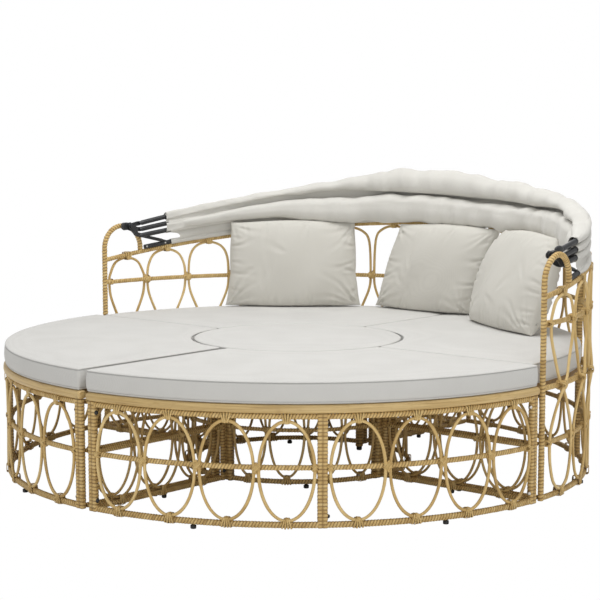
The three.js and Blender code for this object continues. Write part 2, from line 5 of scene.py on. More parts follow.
import bmesh
import bpy
import numpy as np
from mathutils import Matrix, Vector


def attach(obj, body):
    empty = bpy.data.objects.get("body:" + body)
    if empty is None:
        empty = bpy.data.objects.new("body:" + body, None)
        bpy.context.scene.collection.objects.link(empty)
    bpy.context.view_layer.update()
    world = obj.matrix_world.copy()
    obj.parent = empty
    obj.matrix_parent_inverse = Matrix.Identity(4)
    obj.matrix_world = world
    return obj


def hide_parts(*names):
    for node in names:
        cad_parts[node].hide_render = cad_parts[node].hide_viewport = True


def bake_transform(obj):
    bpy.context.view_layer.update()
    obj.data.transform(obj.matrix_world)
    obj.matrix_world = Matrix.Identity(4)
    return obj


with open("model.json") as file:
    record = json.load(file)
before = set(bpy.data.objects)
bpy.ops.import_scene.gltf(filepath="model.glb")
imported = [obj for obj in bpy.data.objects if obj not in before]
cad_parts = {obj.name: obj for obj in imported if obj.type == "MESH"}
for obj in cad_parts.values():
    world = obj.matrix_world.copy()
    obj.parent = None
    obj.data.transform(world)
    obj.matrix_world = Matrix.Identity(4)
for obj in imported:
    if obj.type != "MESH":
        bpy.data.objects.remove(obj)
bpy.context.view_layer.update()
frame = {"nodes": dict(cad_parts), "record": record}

# ------------------------------------------------------------------ dimensions (metres)
R_OUT, R_RAIL, SEAM = 0.900, 0.885, 0.012
Z_LOW, RAIL_H, Z_MID, Z_UP, Z_SEAT = 0.012, 0.015, 0.173, 0.302, 0.3177
Z_CAP0, Z_CAP1, Z_CUSH0, Z_CUSH1 = 0.318, 0.342, 0.3424, 0.403
POST_W, CANE_R, R_IN, IN_W, R_OTTO = 0.028, 0.0045, 0.345, 0.014, 0.320
BACK_MID, TOP_Z0, TOP_K, ARCH_TOP = 0.511, 0.584, 0.137, 0.701
PIVOT_Y, PIVOT_Z, BOW_R, BOW_PLAN = 0.110, 0.700, 0.007, 0.862
BOWS = {"front": (0.185, 0.0), "second": (0.158, -0.020), "third": (0.14, -0.041)}
EYE = {"front": 0.8545, "second": 0.8505, "third": 0.8465}
REAR_BOW_R = 0.880
TAU = 2 * math.pi


def top_z(y):
    return TOP_Z0 + TOP_K * y


def hash01(*k):
    """Repeatable pseudo-random numbers from 0 to 1 for arrays or numbers."""
    h = 0.0
    for i, v in enumerate(k):
        h = h + np.asarray(v, float) * (12.9898 + 65.2330 * i)
    x = np.sin(h + 0.731) * 43758.5453
    return x - np.floor(x)


# ------------------------------------------------------------------ mesh building
class Geo:
    """Gathers quads and polygons, with a 'tone' vector and a 'grain' vector at each point."""

    def __init__(self):
        self.v, self.tone, self.grain = [], [], []
        self.loops, self.sizes, self.mats = [], [], []
        self.n = 0

    def add(self, v, faces, tone, grain, mat=0):
        v = np.asarray(v, float).reshape(-1, 3)
        self.v.append(v)
        self.tone.append(np.broadcast_to(np.asarray(tone, float), v.shape))
        self.grain.append(np.broadcast_to(np.asarray(grain, float), v.shape))
        for f in faces:
            f = np.asarray(f, int)
            self.loops.append((f + self.n).ravel())
            self.sizes.append(np.full(len(f), f.shape[1], int))
            self.mats.append(np.full(len(f), mat, int))
        self.n += len(v)

    def copy_in(self, other, m=None, turn=0.0):
        """Adds another Geo moved by a 4x4 matrix (a reflection turns its faces round)."""
        v = np.concatenate(other.v)
        flip = False
        if m is not None:
            v = v @ m[:3, :3].T + m[:3, 3]
            flip = np.linalg.det(m[:3, :3]) < 0
        loops = np.concatenate(other.loops)
        sizes = np.concatenate(other.sizes)
        if flip:
            ends = np.cumsum(sizes)
            starts = ends - sizes
            pos = np.arange(len(loops))
            face = np.repeat(np.arange(len(sizes)), sizes)
            loops = loops[starts[face] + ends[face] - 1 - pos]
        tone = np.concatenate(other.tone).copy()
        tone[:, 0] = (tone[:, 0] + turn) % 1.0
        self.v.append(v)
        self.tone.append(tone)
        self.grain.append(np.concatenate(other.grain) + turn * 3.7)
        self.loops.append(loops + self.n)
        self.sizes.append(sizes)
        self.mats.append(np.concatenate(other.mats))
        self.n += len(v)

    def make(self, name, mats, smooth=True):
        mesh = bpy.data.meshes.new(name)
        v = np.concatenate(self.v)
        loops = np.concatenate(self.loops).astype(np.int32)
        sizes = np.concatenate(self.sizes).astype(np.int32)
        mi = np.concatenate(self.mats).astype(np.int32)
        mesh.vertices.add(len(v))
        mesh.vertices.foreach_set("co", v.astype(np.float32).ravel())
        mesh.loops.add(len(loops))
        mesh.loops.foreach_set("vertex_index", loops)
        mesh.polygons.add(len(sizes))
        starts = np.concatenate([[0], np.cumsum(sizes)[:-1]]).astype(np.int32)
        mesh.polygons.foreach_set("loop_start", starts)
        mesh.polygons.foreach_set("loop_total", sizes)
        mesh.polygons.foreach_set("material_index", mi)
        mesh.polygons.foreach_set("use_smooth", np.full(len(sizes), smooth))
        for label, data in (("tone", self.tone), ("grain", self.grain)):
            a = mesh.attributes.new(label, "FLOAT_VECTOR", "POINT")
            a.data.foreach_set("vector", np.concatenate(data).astype(np.float32).ravel())
        mesh.update()
        mesh.validate()
        o = bpy.data.objects.new(name, mesh)
        bpy.context.scene.collection.objects.link(o)
        for m in mats:
            mesh.materials.append(m)
        return o


def unit(a):
    return a / np.maximum(np.linalg.norm(a, axis=-1, keepdims=True), 1e-12)


def grid_faces(n, m, wrap_n=False, wrap_m=True, flip=False):
    i = np.arange(n if wrap_n else n - 1)
    j = np.arange(m if wrap_m else m - 1)
    i, j = np.meshgrid(i, j, indexing="ij")
    i1, j1 = (i + 1) % n, (j + 1) % m
    f = np.stack([i * m + j, i * m + j1, i1 * m + j1, i1 * m + j], -1).reshape(-1, 4)
    return f[:, ::-1] if flip else f


def section(a, b, sides, n=2.0, turn=0.5):
    t = TAU * (np.arange(sides) + turn) / sides
    c, s = np.cos(t), np.sin(t)
    return np.stack([np.sign(c) * np.abs(c) ** (2 / n) * a, np.sign(s) * np.abs(s) ** (2 / n) * b], -1)


POST_SECTION = 0.001 * np.array([
    (13.9, 0), (13.6, 6.4), (11.6, 8.0), (7, 8.3), (1.3, 8.0), (0, 6.5), (-1.3, 8.0), (-7, 8.3), (-11.6, 8.0), (-13.6, 6.4),
    (-13.9, 0), (-13.6, -6.4), (-11.6, -8.0), (-7, -8.3), (-1.3, -8.0), (0, -6.5), (1.3, -8.0), (7, -8.3), (11.6, -8.0), (13.6, -6.4)])
# painted shade along the middle groove of each post face and just beside it
POST_SEAM_SHADE = np.array([0, 0, 0, 0, 0.35, 1, 0.35, 0, 0, 0, 0, 0, 0, 0, 0.35, 1, 0.35, 0, 0, 0])


def wrapped(geo, path, length, prof, pitch, depth=0.0009, slant=0.3, seed=0.0, mat=0, phases=(0, 0.12, 0.30, 0.5, 0.70, 0.88), seam_shade=None, caps=True):
    """A member wound with flat strips: rounded turns with a groove between them, leaning by 'slant'."""
    turns = max(2, int(round(length / pitch)))
    p = length / turns
    ph = np.array(phases, float)
    k = np.arange(turns)
    s = np.append(((k[:, None] + ph) * p).ravel(), length)
    groove = np.append(np.tile(np.where(ph < 0.01, 1.0, np.where(np.abs(ph - 0.5) > 0.35, 0.62, 0.0)), turns), 1.0)
    turn = np.append(np.repeat(k, len(ph)), turns - 1)
    edge = np.append(np.tile(np.abs(ph - 0.5) * 2, turns), 1.0)
    off = -depth * edge ** 3
    # hand-wound turns: none sits exactly like its neighbour
    off = off + depth * 0.35 * (hash01(turn, seed) - 0.5) * (1 - groove)
    out = unit(prof)
    X = prof[None, :, 0] + off[:, None] * out[None, :, 0]
    Y = prof[None, :, 1] + off[:, None] * out[None, :, 1]
    S = np.clip(s[:, None] + slant * Y, 0, length)
    P, U, V = path(S)
    verts = P + U * X[..., None] + V * Y[..., None]
    n, m = X.shape
    c = np.cross(U[n // 2, 0], V[n // 2, 0])
    flip = float(np.dot(c, P[-1, 0] - P[0, 0])) < 0 if n > 1 else False
    if np.dot(c, P[min(n // 2 + 4, n - 1), 0] - P[n // 2, 0]) < 0:
        flip = True
    else:
        flip = False
    tone = np.zeros((n, m, 3))
    tone[..., 0] = hash01(turn, seed + 3.1)[:, None]
    # tone.y is painted shade: darkest in the grooves between turns and along a post's middle groove
    g = groove[:, None] * np.ones(m)
    if seam_shade is not None:
        g = np.maximum(g, seam_shade[None, :])
    tone[..., 1] = g
    tone[..., 2] = float(hash01(seed, 9.7))
    per = np.concatenate([[0], np.cumsum(np.linalg.norm(np.diff(prof, axis=0), axis=1))])
    grain = np.stack([s[:, None] + 0 * X, X + seed * 0.37, Y + per[None, :] * 0], -1)
    faces = [grid_faces(n, m, flip=flip)]
    geo.add(verts, faces, tone.reshape(-1, 3), grain.reshape(-1, 3), mat)
    if caps:
        a = np.arange(m)
        base = geo.n - n * m
        for ring, rev in ((a, not flip), (a + (n - 1) * m, flip)):
            poly = (ring if rev is False else ring[::-1]) + base
            # first ring faces back, last ring faces on
            geo.loops.append(poly.astype(int))
            geo.sizes.append(np.array([m]))
            geo.mats.append(np.array([mat]))


def arc_path(r, a0, zf=None, z0=0.0):
    def path(s):
        a = a0 + s / r
        c, sn = np.cos(a), np.sin(a)
        z = np.full_like(a, z0) if zf is None else zf(r * sn)
        P = np.stack([r * c, r * sn, z], -1)
        U = np.stack([c, sn, np.zeros_like(a)], -1)
        V = np.zeros_like(P)
        V[..., 2] = 1
        return P, U, V
    return path


def line_path(A, B, U):
    A, B, U = (np.asarray(x, float) for x in (A, B, U))
    d = unit(B - A)
    V = np.cross(d, U)
    L = float(np.linalg.norm(B - A))

    def path(s):
        P = A + s[..., None] * d
        return P, np.broadcast_to(U, P.shape), np.broadcast_to(V, P.shape)
    return path, L


def poly_path(pts, up):
    """Smooth path through points, with U along the fixed direction 'up' and V across."""
    pts = np.asarray(pts, float)
    seg = np.concatenate([[0], np.cumsum(np.linalg.norm(np.diff(pts, axis=0), axis=1))])
    L = seg[-1]
    up = np.asarray(up, float)

    def path(s):
        P = np.stack([np.interp(s, seg, pts[:, k]) for k in range(3)], -1)
        e = 0.002
        A = np.stack([np.interp(np.clip(s - e, 0, L), seg, pts[:, k]) for k in range(3)], -1)
        B = np.stack([np.interp(np.clip(s + e, 0, L), seg, pts[:, k]) for k in range(3)], -1)
        T = unit(B - A)
        V = unit(np.cross(T, up))
        U = np.cross(V, T)
        return P, U, V
    return path, L


def spline(pts, per=8, closed=True):
    """Catmull-Rom points through a closed or open list."""
    p = np.asarray(pts, float)
    n = len(p)
    out = []
    segs = n if closed else n - 1
    for i in range(segs):
        if closed:
            a, b, c, d = p[(i - 1) % n], p[i], p[(i + 1) % n], p[(i + 2) % n]
        else:
            a, b, c, d = p[max(i - 1, 0)], p[i], p[i + 1], p[min(i + 2, n - 1)]
        for k in range(per):
            t = k / per
            out.append(0.5 * ((2 * b) + (c - a) * t + (2 * a - 5 * b + 4 * c - d) * t * t + (3 * b - a - 3 * c + d) * t ** 3))
    if not closed:
        out.append(p[-1])
    return np.array(out)


def cane(geo, P, N, r=CANE_R, sides=8, seed=0.0, closed=True, mat=1, b=None):
    """A smooth bent cane along points P, with N the panel's outward direction at each one."""
    P = np.asarray(P, float)
    n = len(P)
    if closed:
        T = unit(np.roll(P, -1, 0) - np.roll(P, 1, 0))
    else:
        T = unit(np.gradient(P, axis=0))
    V = unit(np.cross(T, N))
    U = np.cross(V, T)
    L = np.concatenate([[0], np.cumsum(np.linalg.norm(np.diff(P, axis=0), axis=1))])
    rr = r * (1 + 0.035 * np.sin(L * 31 + seed * 5) + 0.02 * np.sin(L * 83 + seed))
    t = TAU * np.arange(sides) / sides
    cs, sn = np.cos(t), np.sin(t)
    bb = 1.0 if b is None else b / r
    verts = P[:, None] + U[:, None] * (rr[:, None] * cs)[..., None] + V[:, None] * (bb * rr[:, None] * sn)[..., None]
    flip = np.dot(np.cross(U[0], V[0]), T[0]) < 0
    tone = np.zeros((n, sides, 3))
    tone[..., 0] = float(hash01(seed, 1.7))
    tone[..., 2] = float(hash01(seed, 4.2))
    grain = np.stack([L[:, None] + 0 * cs, 0 * L[:, None] + r * cs + seed * 0.61, 0 * L[:, None] + r * sn], -1)
    geo.add(verts, [grid_faces(n, sides, wrap_n=closed, flip=flip)], tone.reshape(-1, 3), grain.reshape(-1, 3), mat)
    if not closed:
        base = geo.n - n * sides
        a = np.arange(sides)
        for ring, rev in ((a, not flip), (a + (n - 1) * sides, flip)):
            geo.loops.append(((ring[::-1] if rev else ring) + base).astype(int))
            geo.sizes.append(np.array([sides]))
            geo.mats.append(np.array([mat]))


def coil(geo, C, A, B, W, pts, wide=0.0048, thick=0.0012, seed=0.0, mat=2):
    """One turn of a binding: a flat strip round a closed path 'pts' in the plane of A and B."""
    C, A, B, W = (np.asarray(x, float) for x in (C, A, B, W))
    pts = np.asarray(pts, float)
    n = len(pts)
    t = unit(np.roll(pts, -1, 0) - np.roll(pts, 1, 0))
    nrm = np.stack([t[:, 1], -t[:, 0]], -1)
    if np.sum(nrm * (pts - pts.mean(0))) < 0:
        nrm = -nrm
    prof = np.array([(-0.5, 0.0), (-0.42, 0.8), (0.0, 1.0), (0.42, 0.8), (0.5, 0.0), (0.0, -0.3)])
    m = len(prof)
    w = prof[:, 0] * wide
    h = prof[:, 1] * thick
    q = pts[:, None, :] + nrm[:, None, :] * h[None, :, None]
    verts = C + q[..., 0:1] * A + q[..., 1:2] * B + w[None, :, None] * W
    # orientation from the signed volume
    f = grid_faces(n, m, wrap_n=True)
    vv = verts.reshape(-1, 3)
    a, b, c = vv[f[:, 0]] - C, vv[f[:, 1]] - C, vv[f[:, 2]] - C
    if np.sum(np.einsum("ij,ij->i", a, np.cross(b, c))) < 0:
        f = f[:, ::-1]
    tone = np.zeros((n, m, 3))
    tone[..., 0] = float(hash01(seed, 2.3))
    # painted shade on each strip's edges and underside, where turns meet and press on the member
    tone[..., 1] = np.array([0.9, 0.1, 0, 0.1, 0.9, 1.0])[None, :]
    tone[..., 2] = float(hash01(seed, 7.9))
    L = np.arange(n) / n * 0.06
    grain = np.stack([L[:, None] + 0 * w, w[None, :] + seed + 0 * L[:, None], 0 * L[:, None] + h[None, :]], -1)
    geo.add(vv, [f], tone.reshape(-1, 3), grain.reshape(-1, 3), mat)


def rounded_rect(a0, a1, b0, b1, r, per=3):
    r = min(r, (a1 - a0) / 2 - 1e-5, (b1 - b0) / 2 - 1e-5)
    out = []
    for cx, cy, t0 in ((a1 - r, b1 - r, 0), (a0 + r, b1 - r, 90), (a0 + r, b0 + r, 180), (a1 - r, b0 + r, 270)):
        for k in range(per + 1):
            t = math.radians(t0 + 90 * k / per)
            out.append((cx + r * math.cos(t), cy + r * math.sin(t)))
    return out


def binding(geo, C, A, B, W, box, turns, pitch=0.0060, seed=0.0, r=0.004, bulge=0.0004, fan=0.0):
    """Turns of strip round a bundle; 'fan' draws them together at the top (plus) or at the bottom (minus)."""
    C, B, W = np.asarray(C, float), np.asarray(B, float), np.asarray(W, float)
    for k in range(turns):
        o = (k - (turns - 1) / 2) * pitch
        e = bulge * (1 - (2 * k / max(turns - 1, 1) - 1) ** 2) + 0.0003 * float(hash01(k, seed)) + 0.00035 * (k % 2)
        a0, a1, b0, b1 = box
        slope = -o * fan
        B1 = unit(B + W * slope)
        W1 = unit(W - B * slope)
        zc = (b0 + b1) / 2
        coil(geo, C + W * o + B * zc, A, B1, W1, rounded_rect(a0 - e, a1 + e, b0 - zc - e, b1 - zc + e, r), seed=seed + k * 0.77)


def lashing(geo, C, T, Zd, R, half=0.0125, deep=(-0.011, 0.0105), seed=0.0, strands=3, wide=0.0036):
    """Crossed turns over a place where canes meet a rail: two sets of strips, one each way."""
    C, T, Zd, R = (np.asarray(x, float) for x in (C, T, Zd, R))
    t = TAU * np.arange(16) / 16
    mid, rad = (deep[0] + deep[1]) / 2, (deep[1] - deep[0]) / 2
    for way in (1, -1):
        D = unit(T * way + Zd * 1.05)
        S = np.cross(R, D)
        for k in range(strands):
            o = (k - (strands - 1) / 2) * (wide + 0.0002)
            q = rad + 0.0006 * (way > 0) + 0.0005 * float(hash01(k, way, seed))
            h = half * (1 - 0.06 * abs(k - (strands - 1) / 2))
            c, s = np.cos(t), np.sin(t)
            pts = np.stack([np.sign(c) * np.abs(c) ** 0.75 * h, mid + np.sign(s) * np.abs(s) ** 0.75 * q], -1)
            coil(geo, C + S * o, D, R, S, pts, wide=wide, thick=0.0011, seed=seed + k + 5 * way)


def knot(geo, C, axis, r=0.0042, seed=0.0, half=0.004):
    """The small rounded end of a strip tucked under a lashing."""
    C, axis = np.asarray(C, float), unit(np.asarray(axis, float))
    side = unit(np.cross(axis, (0.31, 0.42, 0.85)))
    up = np.cross(axis, side)
    t = np.linspace(0, TAU, 9)[:-1]
    u = np.linspace(0, math.pi, 6)
    verts = []
    for a in u:
        for b in t:
            verts.append(C + axis * (half * math.cos(a)) + (side * math.cos(b) + up * math.sin(b)) * (r * math.sin(a) * 0.75))
    f = grid_faces(len(u), len(t))
    vv = np.array(verts)
    a, b, c = vv[f[:, 0]] - C, vv[f[:, 1]] - C, vv[f[:, 2]] - C
    if np.sum(np.einsum("ij,ij->i", a, np.cross(b, c))) < 0:
        f = f[:, ::-1]
    # tone.y of 0.2 gives the whole knot a faint painted shade
    geo.add(vv, [f], (float(hash01(seed, 2)), 0.2, float(hash01(seed, 5))), vv, 2)


def turned(geo, C, axis, prof, sides=16, mat=0, tone=(0.5, 0, 0.5), cap0=True, cap1=True):
    """Surface of revolution: prof is a list of (along, radius)."""
    C, axis = np.asarray(C, float), unit(np.asarray(axis, float))
    side = unit(np.cross(axis, (0.31, 0.42, 0.85) if abs(axis[2]) < 0.9 else (1, 0, 0)))
    up = np.cross(axis, side)
    t = TAU * np.arange(sides) / sides
    rows = [C + axis * s + (np.outer(np.cos(t), side) + np.outer(np.sin(t), up)) * r for s, r in prof]
    vv = np.concatenate(rows)
    n = len(prof)
    f = grid_faces(n, sides)
    a, b, c = vv[f[:, 0]] - C, vv[f[:, 1]] - C, vv[f[:, 2]] - C
    flip = prof[-1][0] < prof[0][0]
    if flip:
        f = f[:, ::-1]
    grain = vv.copy()
    geo.add(vv, [f], tone, grain, mat)
    base = geo.n - len(vv)
    ring = np.arange(sides)
    if cap0:
        q = (ring[::-1] if not flip else ring) + base
        geo.loops.append(q)
        geo.sizes.append(np.array([sides]))
        geo.mats.append(np.array([mat]))
    if cap1:
        q = (ring if not flip else ring[::-1]) + base + (n - 1) * sides
        geo.loops.append(q)
        geo.sizes.append(np.array([sides]))
        geo.mats.append(np.array([mat]))


def smooth_member(geo, path, length, prof, steps, ends=0.006, seed=0.0, mat=0):
    """A smooth bent member with eased ends."""
    e = ends * (1 - np.cos(np.linspace(0, math.pi / 2, 5)))
    s = np.unique(np.concatenate([e, np.linspace(ends, length - ends, steps), length - e]))
    d = np.minimum(s, length - s)
    k = np.where(d < ends, np.sqrt(np.clip(1 - (1 - d / ends) ** 2, 0, 1)) * 0.45 + 0.55, 1.0)
    S = np.broadcast_to(s[:, None], (len(s), len(prof)))
    P, U, V = path(S)
    inset = ends * (1 - k)
    out = unit(prof)
    X = prof[None, :, 0] - inset[:, None] * out[None, :, 0] * 1.2
    Y = prof[None, :, 1] - inset[:, None] * out[None, :, 1] * 1.2
    verts = P + U * X[..., None] + V * Y[..., None]
    n, m = X.shape
    c = np.cross(U[n // 2, 0], V[n // 2, 0])
    flip = np.dot(c, P[n // 2 + 1, 0] - P[n // 2, 0]) < 0
    grain = np.stack([S, X + seed, Y], -1)
    geo.add(verts, [grid_faces(n, m, flip=flip)], (float(hash01(seed, 3)), 0, float(hash01(seed, 8))), grain.reshape(-1, 3), mat)
    base = geo.n - n * m
    a = np.arange(m)
    for ring, rev in ((a, not flip), (a + (n - 1) * m, flip)):
        geo.loops.append(((ring[::-1] if rev else ring) + base).astype(int))
        geo.sizes.append(np.array([m]))
        geo.mats.append(np.array([mat]))


# ------------------------------------------------------------------ materials
class Nodes:
    """Small helper that builds a node tree with a Principled surface."""

    def __init__(self, name):
        self.m = bpy.data.materials.new(name)
        self.m.use_nodes = True
        self.t = self.m.node_tree
        self.t.nodes.clear()
        self.out = self.t.nodes.new("ShaderNodeOutputMaterial")
        self.b = self.t.nodes.new("ShaderNodeBsdfPrincipled")
        self.t.links.new(self.b.outputs[0], self.out.inputs[0])

    def new(self, kind, **props):
        n = self.t.nodes.new(kind)
        for k, v in props.items():
            setattr(n, k, v)
        return n

    def link(self, a, b):
        self.t.links.new(a, b)

    def set(self, node, **values):
        for k, v in values.items():
            node.inputs[k.replace("_", " ")].default_value = v
        return node

    def attribute(self, name):
        return self.new("ShaderNodeAttribute", attribute_name=name, attribute_type="GEOMETRY")

    def mapping(self, source, scale):
        n = self.new("ShaderNodeMapping")
        n.inputs["Scale"].default_value = scale
        self.link(source, n.inputs["Vector"])
        return n.outputs[0]

    def noise(self, vector, scale, detail=3.0, rough=0.55, distortion=0.0):
        n = self.new("ShaderNodeTexNoise")
        n.inputs["Scale"].default_value = scale
        n.inputs["Detail"].default_value = detail
        n.inputs["Roughness"].default_value = rough
        n.inputs["Distortion"].default_value = distortion
        self.link(vector, n.inputs["Vector"])
        return n.outputs["Fac"]

    def ramp(self, fac, stops):
        n = self.new("ShaderNodeValToRGB")
        e = n.color_ramp.elements
        while len(e) < len(stops):
            e.new(0.5)
        for el, (p, c) in zip(e, stops):
            el.position = p
            el.color = (*c, 1)
        self.link(fac, n.inputs["Fac"])
        return n.outputs["Color"]

    def mix(self, fac, a, b, mode="MIX"):
        n = self.new("ShaderNodeMix", data_type="RGBA", blend_type=mode)
        for sock, v in ((n.inputs[0], fac), (n.inputs[6], a), (n.inputs[7], b)):
            if isinstance(v, (int, float)):
                sock.default_value = v
            elif isinstance(v, tuple):
                sock.default_value = (*v, 1)
            else:
                self.link(v, sock)
        return n.outputs[2]

    def math(self, op, a, b=None, clamp=False):
        n = self.new("ShaderNodeMath", operation=op, use_clamp=clamp)
        for k, v in enumerate((a, b)):
            if v is None:
                continue
            if isinstance(v, (int, float)):
                n.inputs[k].default_value = v
            else:
                self.link(v, n.inputs[k])
        return n.outputs[0]

    def bump(self, height, strength, distance):
        n = self.new("ShaderNodeBump")
        n.inputs["Strength"].default_value = strength
        n.inputs["Distance"].default_value = distance
        self.link(height, n.inputs["Height"])
        self.link(n.outputs[0], self.b.inputs["Normal"])
        return n


def rattan_material(name, wound):
    """Rattan: 'wound' strips with painted shade in the grooves between them, or smooth cane with lengthwise fibre."""
    k = Nodes(name)
    tone = k.new("ShaderNodeSeparateXYZ")
    k.link(k.attribute("tone").outputs["Vector"], tone.inputs[0])
    g = k.attribute("grain").outputs["Vector"]
    if wound:
        fibre = k.noise(k.mapping(g, (1500, 260, 260)), 1.0, 3.0, 0.6)
        blotch = k.noise(k.mapping(g, (60, 60, 60)), 1.0, 2.0, 0.5)
        t = k.math("ADD", k.math("MULTIPLY", tone.outputs[0], 0.22), k.math("MULTIPLY", blotch, 0.80), True)
    else:
        fibre = k.noise(k.mapping(g, (22, 900, 900)), 1.0, 4.0, 0.62)
        blotch = k.noise(k.mapping(g, (16, 40, 40)), 1.0, 2.0, 0.5)
        t = k.math("ADD", k.math("MULTIPLY", tone.outputs[0], 0.3), k.math("MULTIPLY", blotch, 0.75), True)
    base = k.ramp(t, [(0.20, RATTAN_DARK), (0.5, RATTAN_MID), (0.80, RATTAN_LIGHT)])
    streak = k.ramp(fibre, [(0.30, (0.72, 0.68, 0.62)), (0.55, (1, 1, 1)), (0.75, (1.0, 1.0, 1.0))])
    base = k.mix(0.55 if wound else 0.75, base, streak, "MULTIPLY")
    # painted shade: tone.y darkens wound strips towards dark brown in the grooves between turns, where shade falls;
    # canes get none
    groove = k.math("POWER", tone.outputs[1], 1.25, True)
    base = k.mix(k.math("MULTIPLY", groove, 0.90 if wound else 0.0), base, (0.200, 0.108, 0.036))
    k.link(base, k.b.inputs["Base Color"])
    rough = k.math("ADD", k.math("MULTIPLY", fibre, 0.22), 0.36 if not wound else 0.42)
    k.link(rough, k.b.inputs["Roughness"])
    k.b.inputs["Specular IOR Level"].default_value = 0.32
    k.b.inputs["Coat Weight"].default_value = 0.05
    k.b.inputs["Coat Roughness"].default_value = 0.3
    k.bump(fibre, 0.35, 0.00035)
    return k.m


RATTAN_DARK = (0.450, 0.285, 0.100)
RATTAN_MID = (0.655, 0.455, 0.178)
RATTAN_LIGHT = (0.790, 0.600, 0.288)


def cap_material():
    k = Nodes("smooth_cap_rail")
    g = k.attribute("grain").outputs["Vector"]
    fibre = k.noise(k.mapping(g, (9, 520, 520)), 1.0, 5.0, 0.65, 0.2)
    wide = k.noise(k.mapping(g, (5, 130, 130)), 1.0, 3.0, 0.5)
    knots = k.noise(k.mapping(g, (26, 90, 90)), 1.0, 2.0, 0.5)
    base = k.ramp(wide, [(0.28, (0.490, 0.330, 0.123)), (0.64, (0.640, 0.463, 0.205))])
    base = k.mix(0.8, base, k.ramp(fibre, [(0.32, (0.58, 0.50, 0.42)), (0.5, (1, 1, 1))]), "MULTIPLY")
    base = k.mix(0.5, base, k.ramp(knots, [(0.28, (0.74, 0.66, 0.55)), (0.42, (1, 1, 1))]), "MULTIPLY")
    k.link(base, k.b.inputs["Base Color"])
    k.link(k.math("ADD", k.math("MULTIPLY", fibre, 0.2), 0.34), k.b.inputs["Roughness"])
    k.b.inputs["Coat Weight"].default_value = 0.05
    k.b.inputs["Coat Roughness"].default_value = 0.28
    k.bump(fibre, 0.4, 0.0004)
    return k.m


def metal_material(name, color, rough, metallic=0.0):
    k = Nodes(name)
    c = k.new("ShaderNodeTexCoord").outputs["Object"]
    fine = k.noise(c, 900, 2.0, 0.5)
    soft = k.noise(c, 30, 2.0, 0.5)
    dark = tuple(x * 0.75 for x in color)
    light = tuple(min(1, x * 1.35) for x in color)
    k.link(k.ramp(soft, [(0.3, dark), (0.7, light)]), k.b.inputs["Base Color"])
    k.link(k.math("ADD", k.math("MULTIPLY", fine, 0.16), rough - 0.08), k.b.inputs["Roughness"])
    k.b.inputs["Metallic"].default_value = metallic
    k.bump(fine, 0.12, 0.0003)
    return k.m


def fabric_material(name, color, period=0.0011, strength=0.30, mottling=0.03):
    """Plain-weave cloth: crossing threads as fine relief, with slubs, a soft sheen and painted shade along seams that
    tone.y marks.
    """
    k = Nodes(name)
    c = k.new("ShaderNodeTexCoord").outputs["Object"]
    waves = []
    for axis in ("X", "Y", "Z"):
        w = k.new("ShaderNodeTexWave", wave_type="BANDS", bands_direction=axis, wave_profile="SIN")
        w.inputs["Scale"].default_value = 0.314 / period
        w.inputs["Distortion"].default_value = 0.25
        w.inputs["Detail"].default_value = 1.0
        w.inputs["Detail Scale"].default_value = 3.0
        k.link(c, w.inputs["Vector"])
        waves.append(w.outputs["Fac"])
    weave = k.math("MULTIPLY", k.math("ADD", k.math("ADD", waves[0], waves[1]), waves[2]), 0.333)
    slub = k.noise(k.mapping(c, (1, 1, 5)), 240, 2.0, 0.6)
    cloud = k.noise(c, 7, 3.0, 0.5)
    lo = tuple(x * (1 - mottling) for x in color)
    hi = tuple(min(1, x * (1 + mottling * 0.6)) for x in color)
    base = k.ramp(cloud, [(0.3, lo), (0.7, hi)])
    base = k.mix(0.6, base, k.ramp(slub, [(0.25, (0.93, 0.925, 0.91)), (0.6, (1, 1, 1))]), "MULTIPLY")
    base = k.mix(0.5, base, k.ramp(weave, [(0.2, (0.90, 0.895, 0.885)), (0.6, (1, 1, 1))]), "MULTIPLY")
    # painted shade: tone.y darkens the cloth to 0.42 of its colour in the seam grooves of the seat cushions
    seam_shade = k.new("ShaderNodeSeparateXYZ")
    k.link(k.attribute("tone").outputs["Vector"], seam_shade.inputs[0])
    base = k.mix(k.math("MULTIPLY", seam_shade.outputs[1], 0.55), base, tuple(x * 0.42 for x in color))
    k.link(base, k.b.inputs["Base Color"])
    k.b.inputs["Roughness"].default_value = 0.88
    k.b.inputs["Specular IOR Level"].default_value = 0.25
    k.b.inputs["Sheen Weight"].default_value = 0.12
    k.b.inputs["Sheen Roughness"].default_value = 0.5
    k.bump(k.math("ADD", weave, k.math("MULTIPLY", slub, 0.6)), strength, 0.0006)
    return k.m


def plain_material(name, color, rough=0.6, scale=120.0):
    k = Nodes(name)
    c = k.new("ShaderNodeTexCoord").outputs["Object"]
    n = k.noise(c, scale, 3.0, 0.55)
    k.link(k.ramp(n, [(0.3, tuple(x * 0.8 for x in color)), (0.7, tuple(min(1, x * 1.15) for x in color))]), k.b.inputs["Base Color"])
    k.link(k.math("ADD", k.math("MULTIPLY", n, 0.2), rough - 0.1), k.b.inputs["Roughness"])
    k.bump(n, 0.15, 0.0005)
    return k.m


WRAP = rattan_material("wound_rattan", True)
CANE = rattan_material("bent_cane", False)
LASH = rattan_material("lashing_strip", True)
CAP = cap_material()
BLACK = metal_material("black_satin_coat", (0.022, 0.023, 0.025), 0.42)
ZINC = metal_material("zinc_screw", (0.62, 0.60, 0.56), 0.32, 1.0)
GLIDE = plain_material("black_glide", (0.018, 0.018, 0.019), 0.6)
SEAT_CLOTH = fabric_material("seat_cloth", (0.622, 0.614, 0.590))
PILLOW_CLOTH = fabric_material("pillow_cloth", (0.635, 0.618, 0.566), 0.0012, 0.28)
CANOPY_CLOTH = fabric_material("canopy_cloth", (0.662, 0.648, 0.606), 0.0009, 0.22)
DECK = plain_material("deck_panel", (0.34, 0.215, 0.095), 0.6, 60)
RMATS = [WRAP, CANE, LASH, BLACK, ZINC, GLIDE]

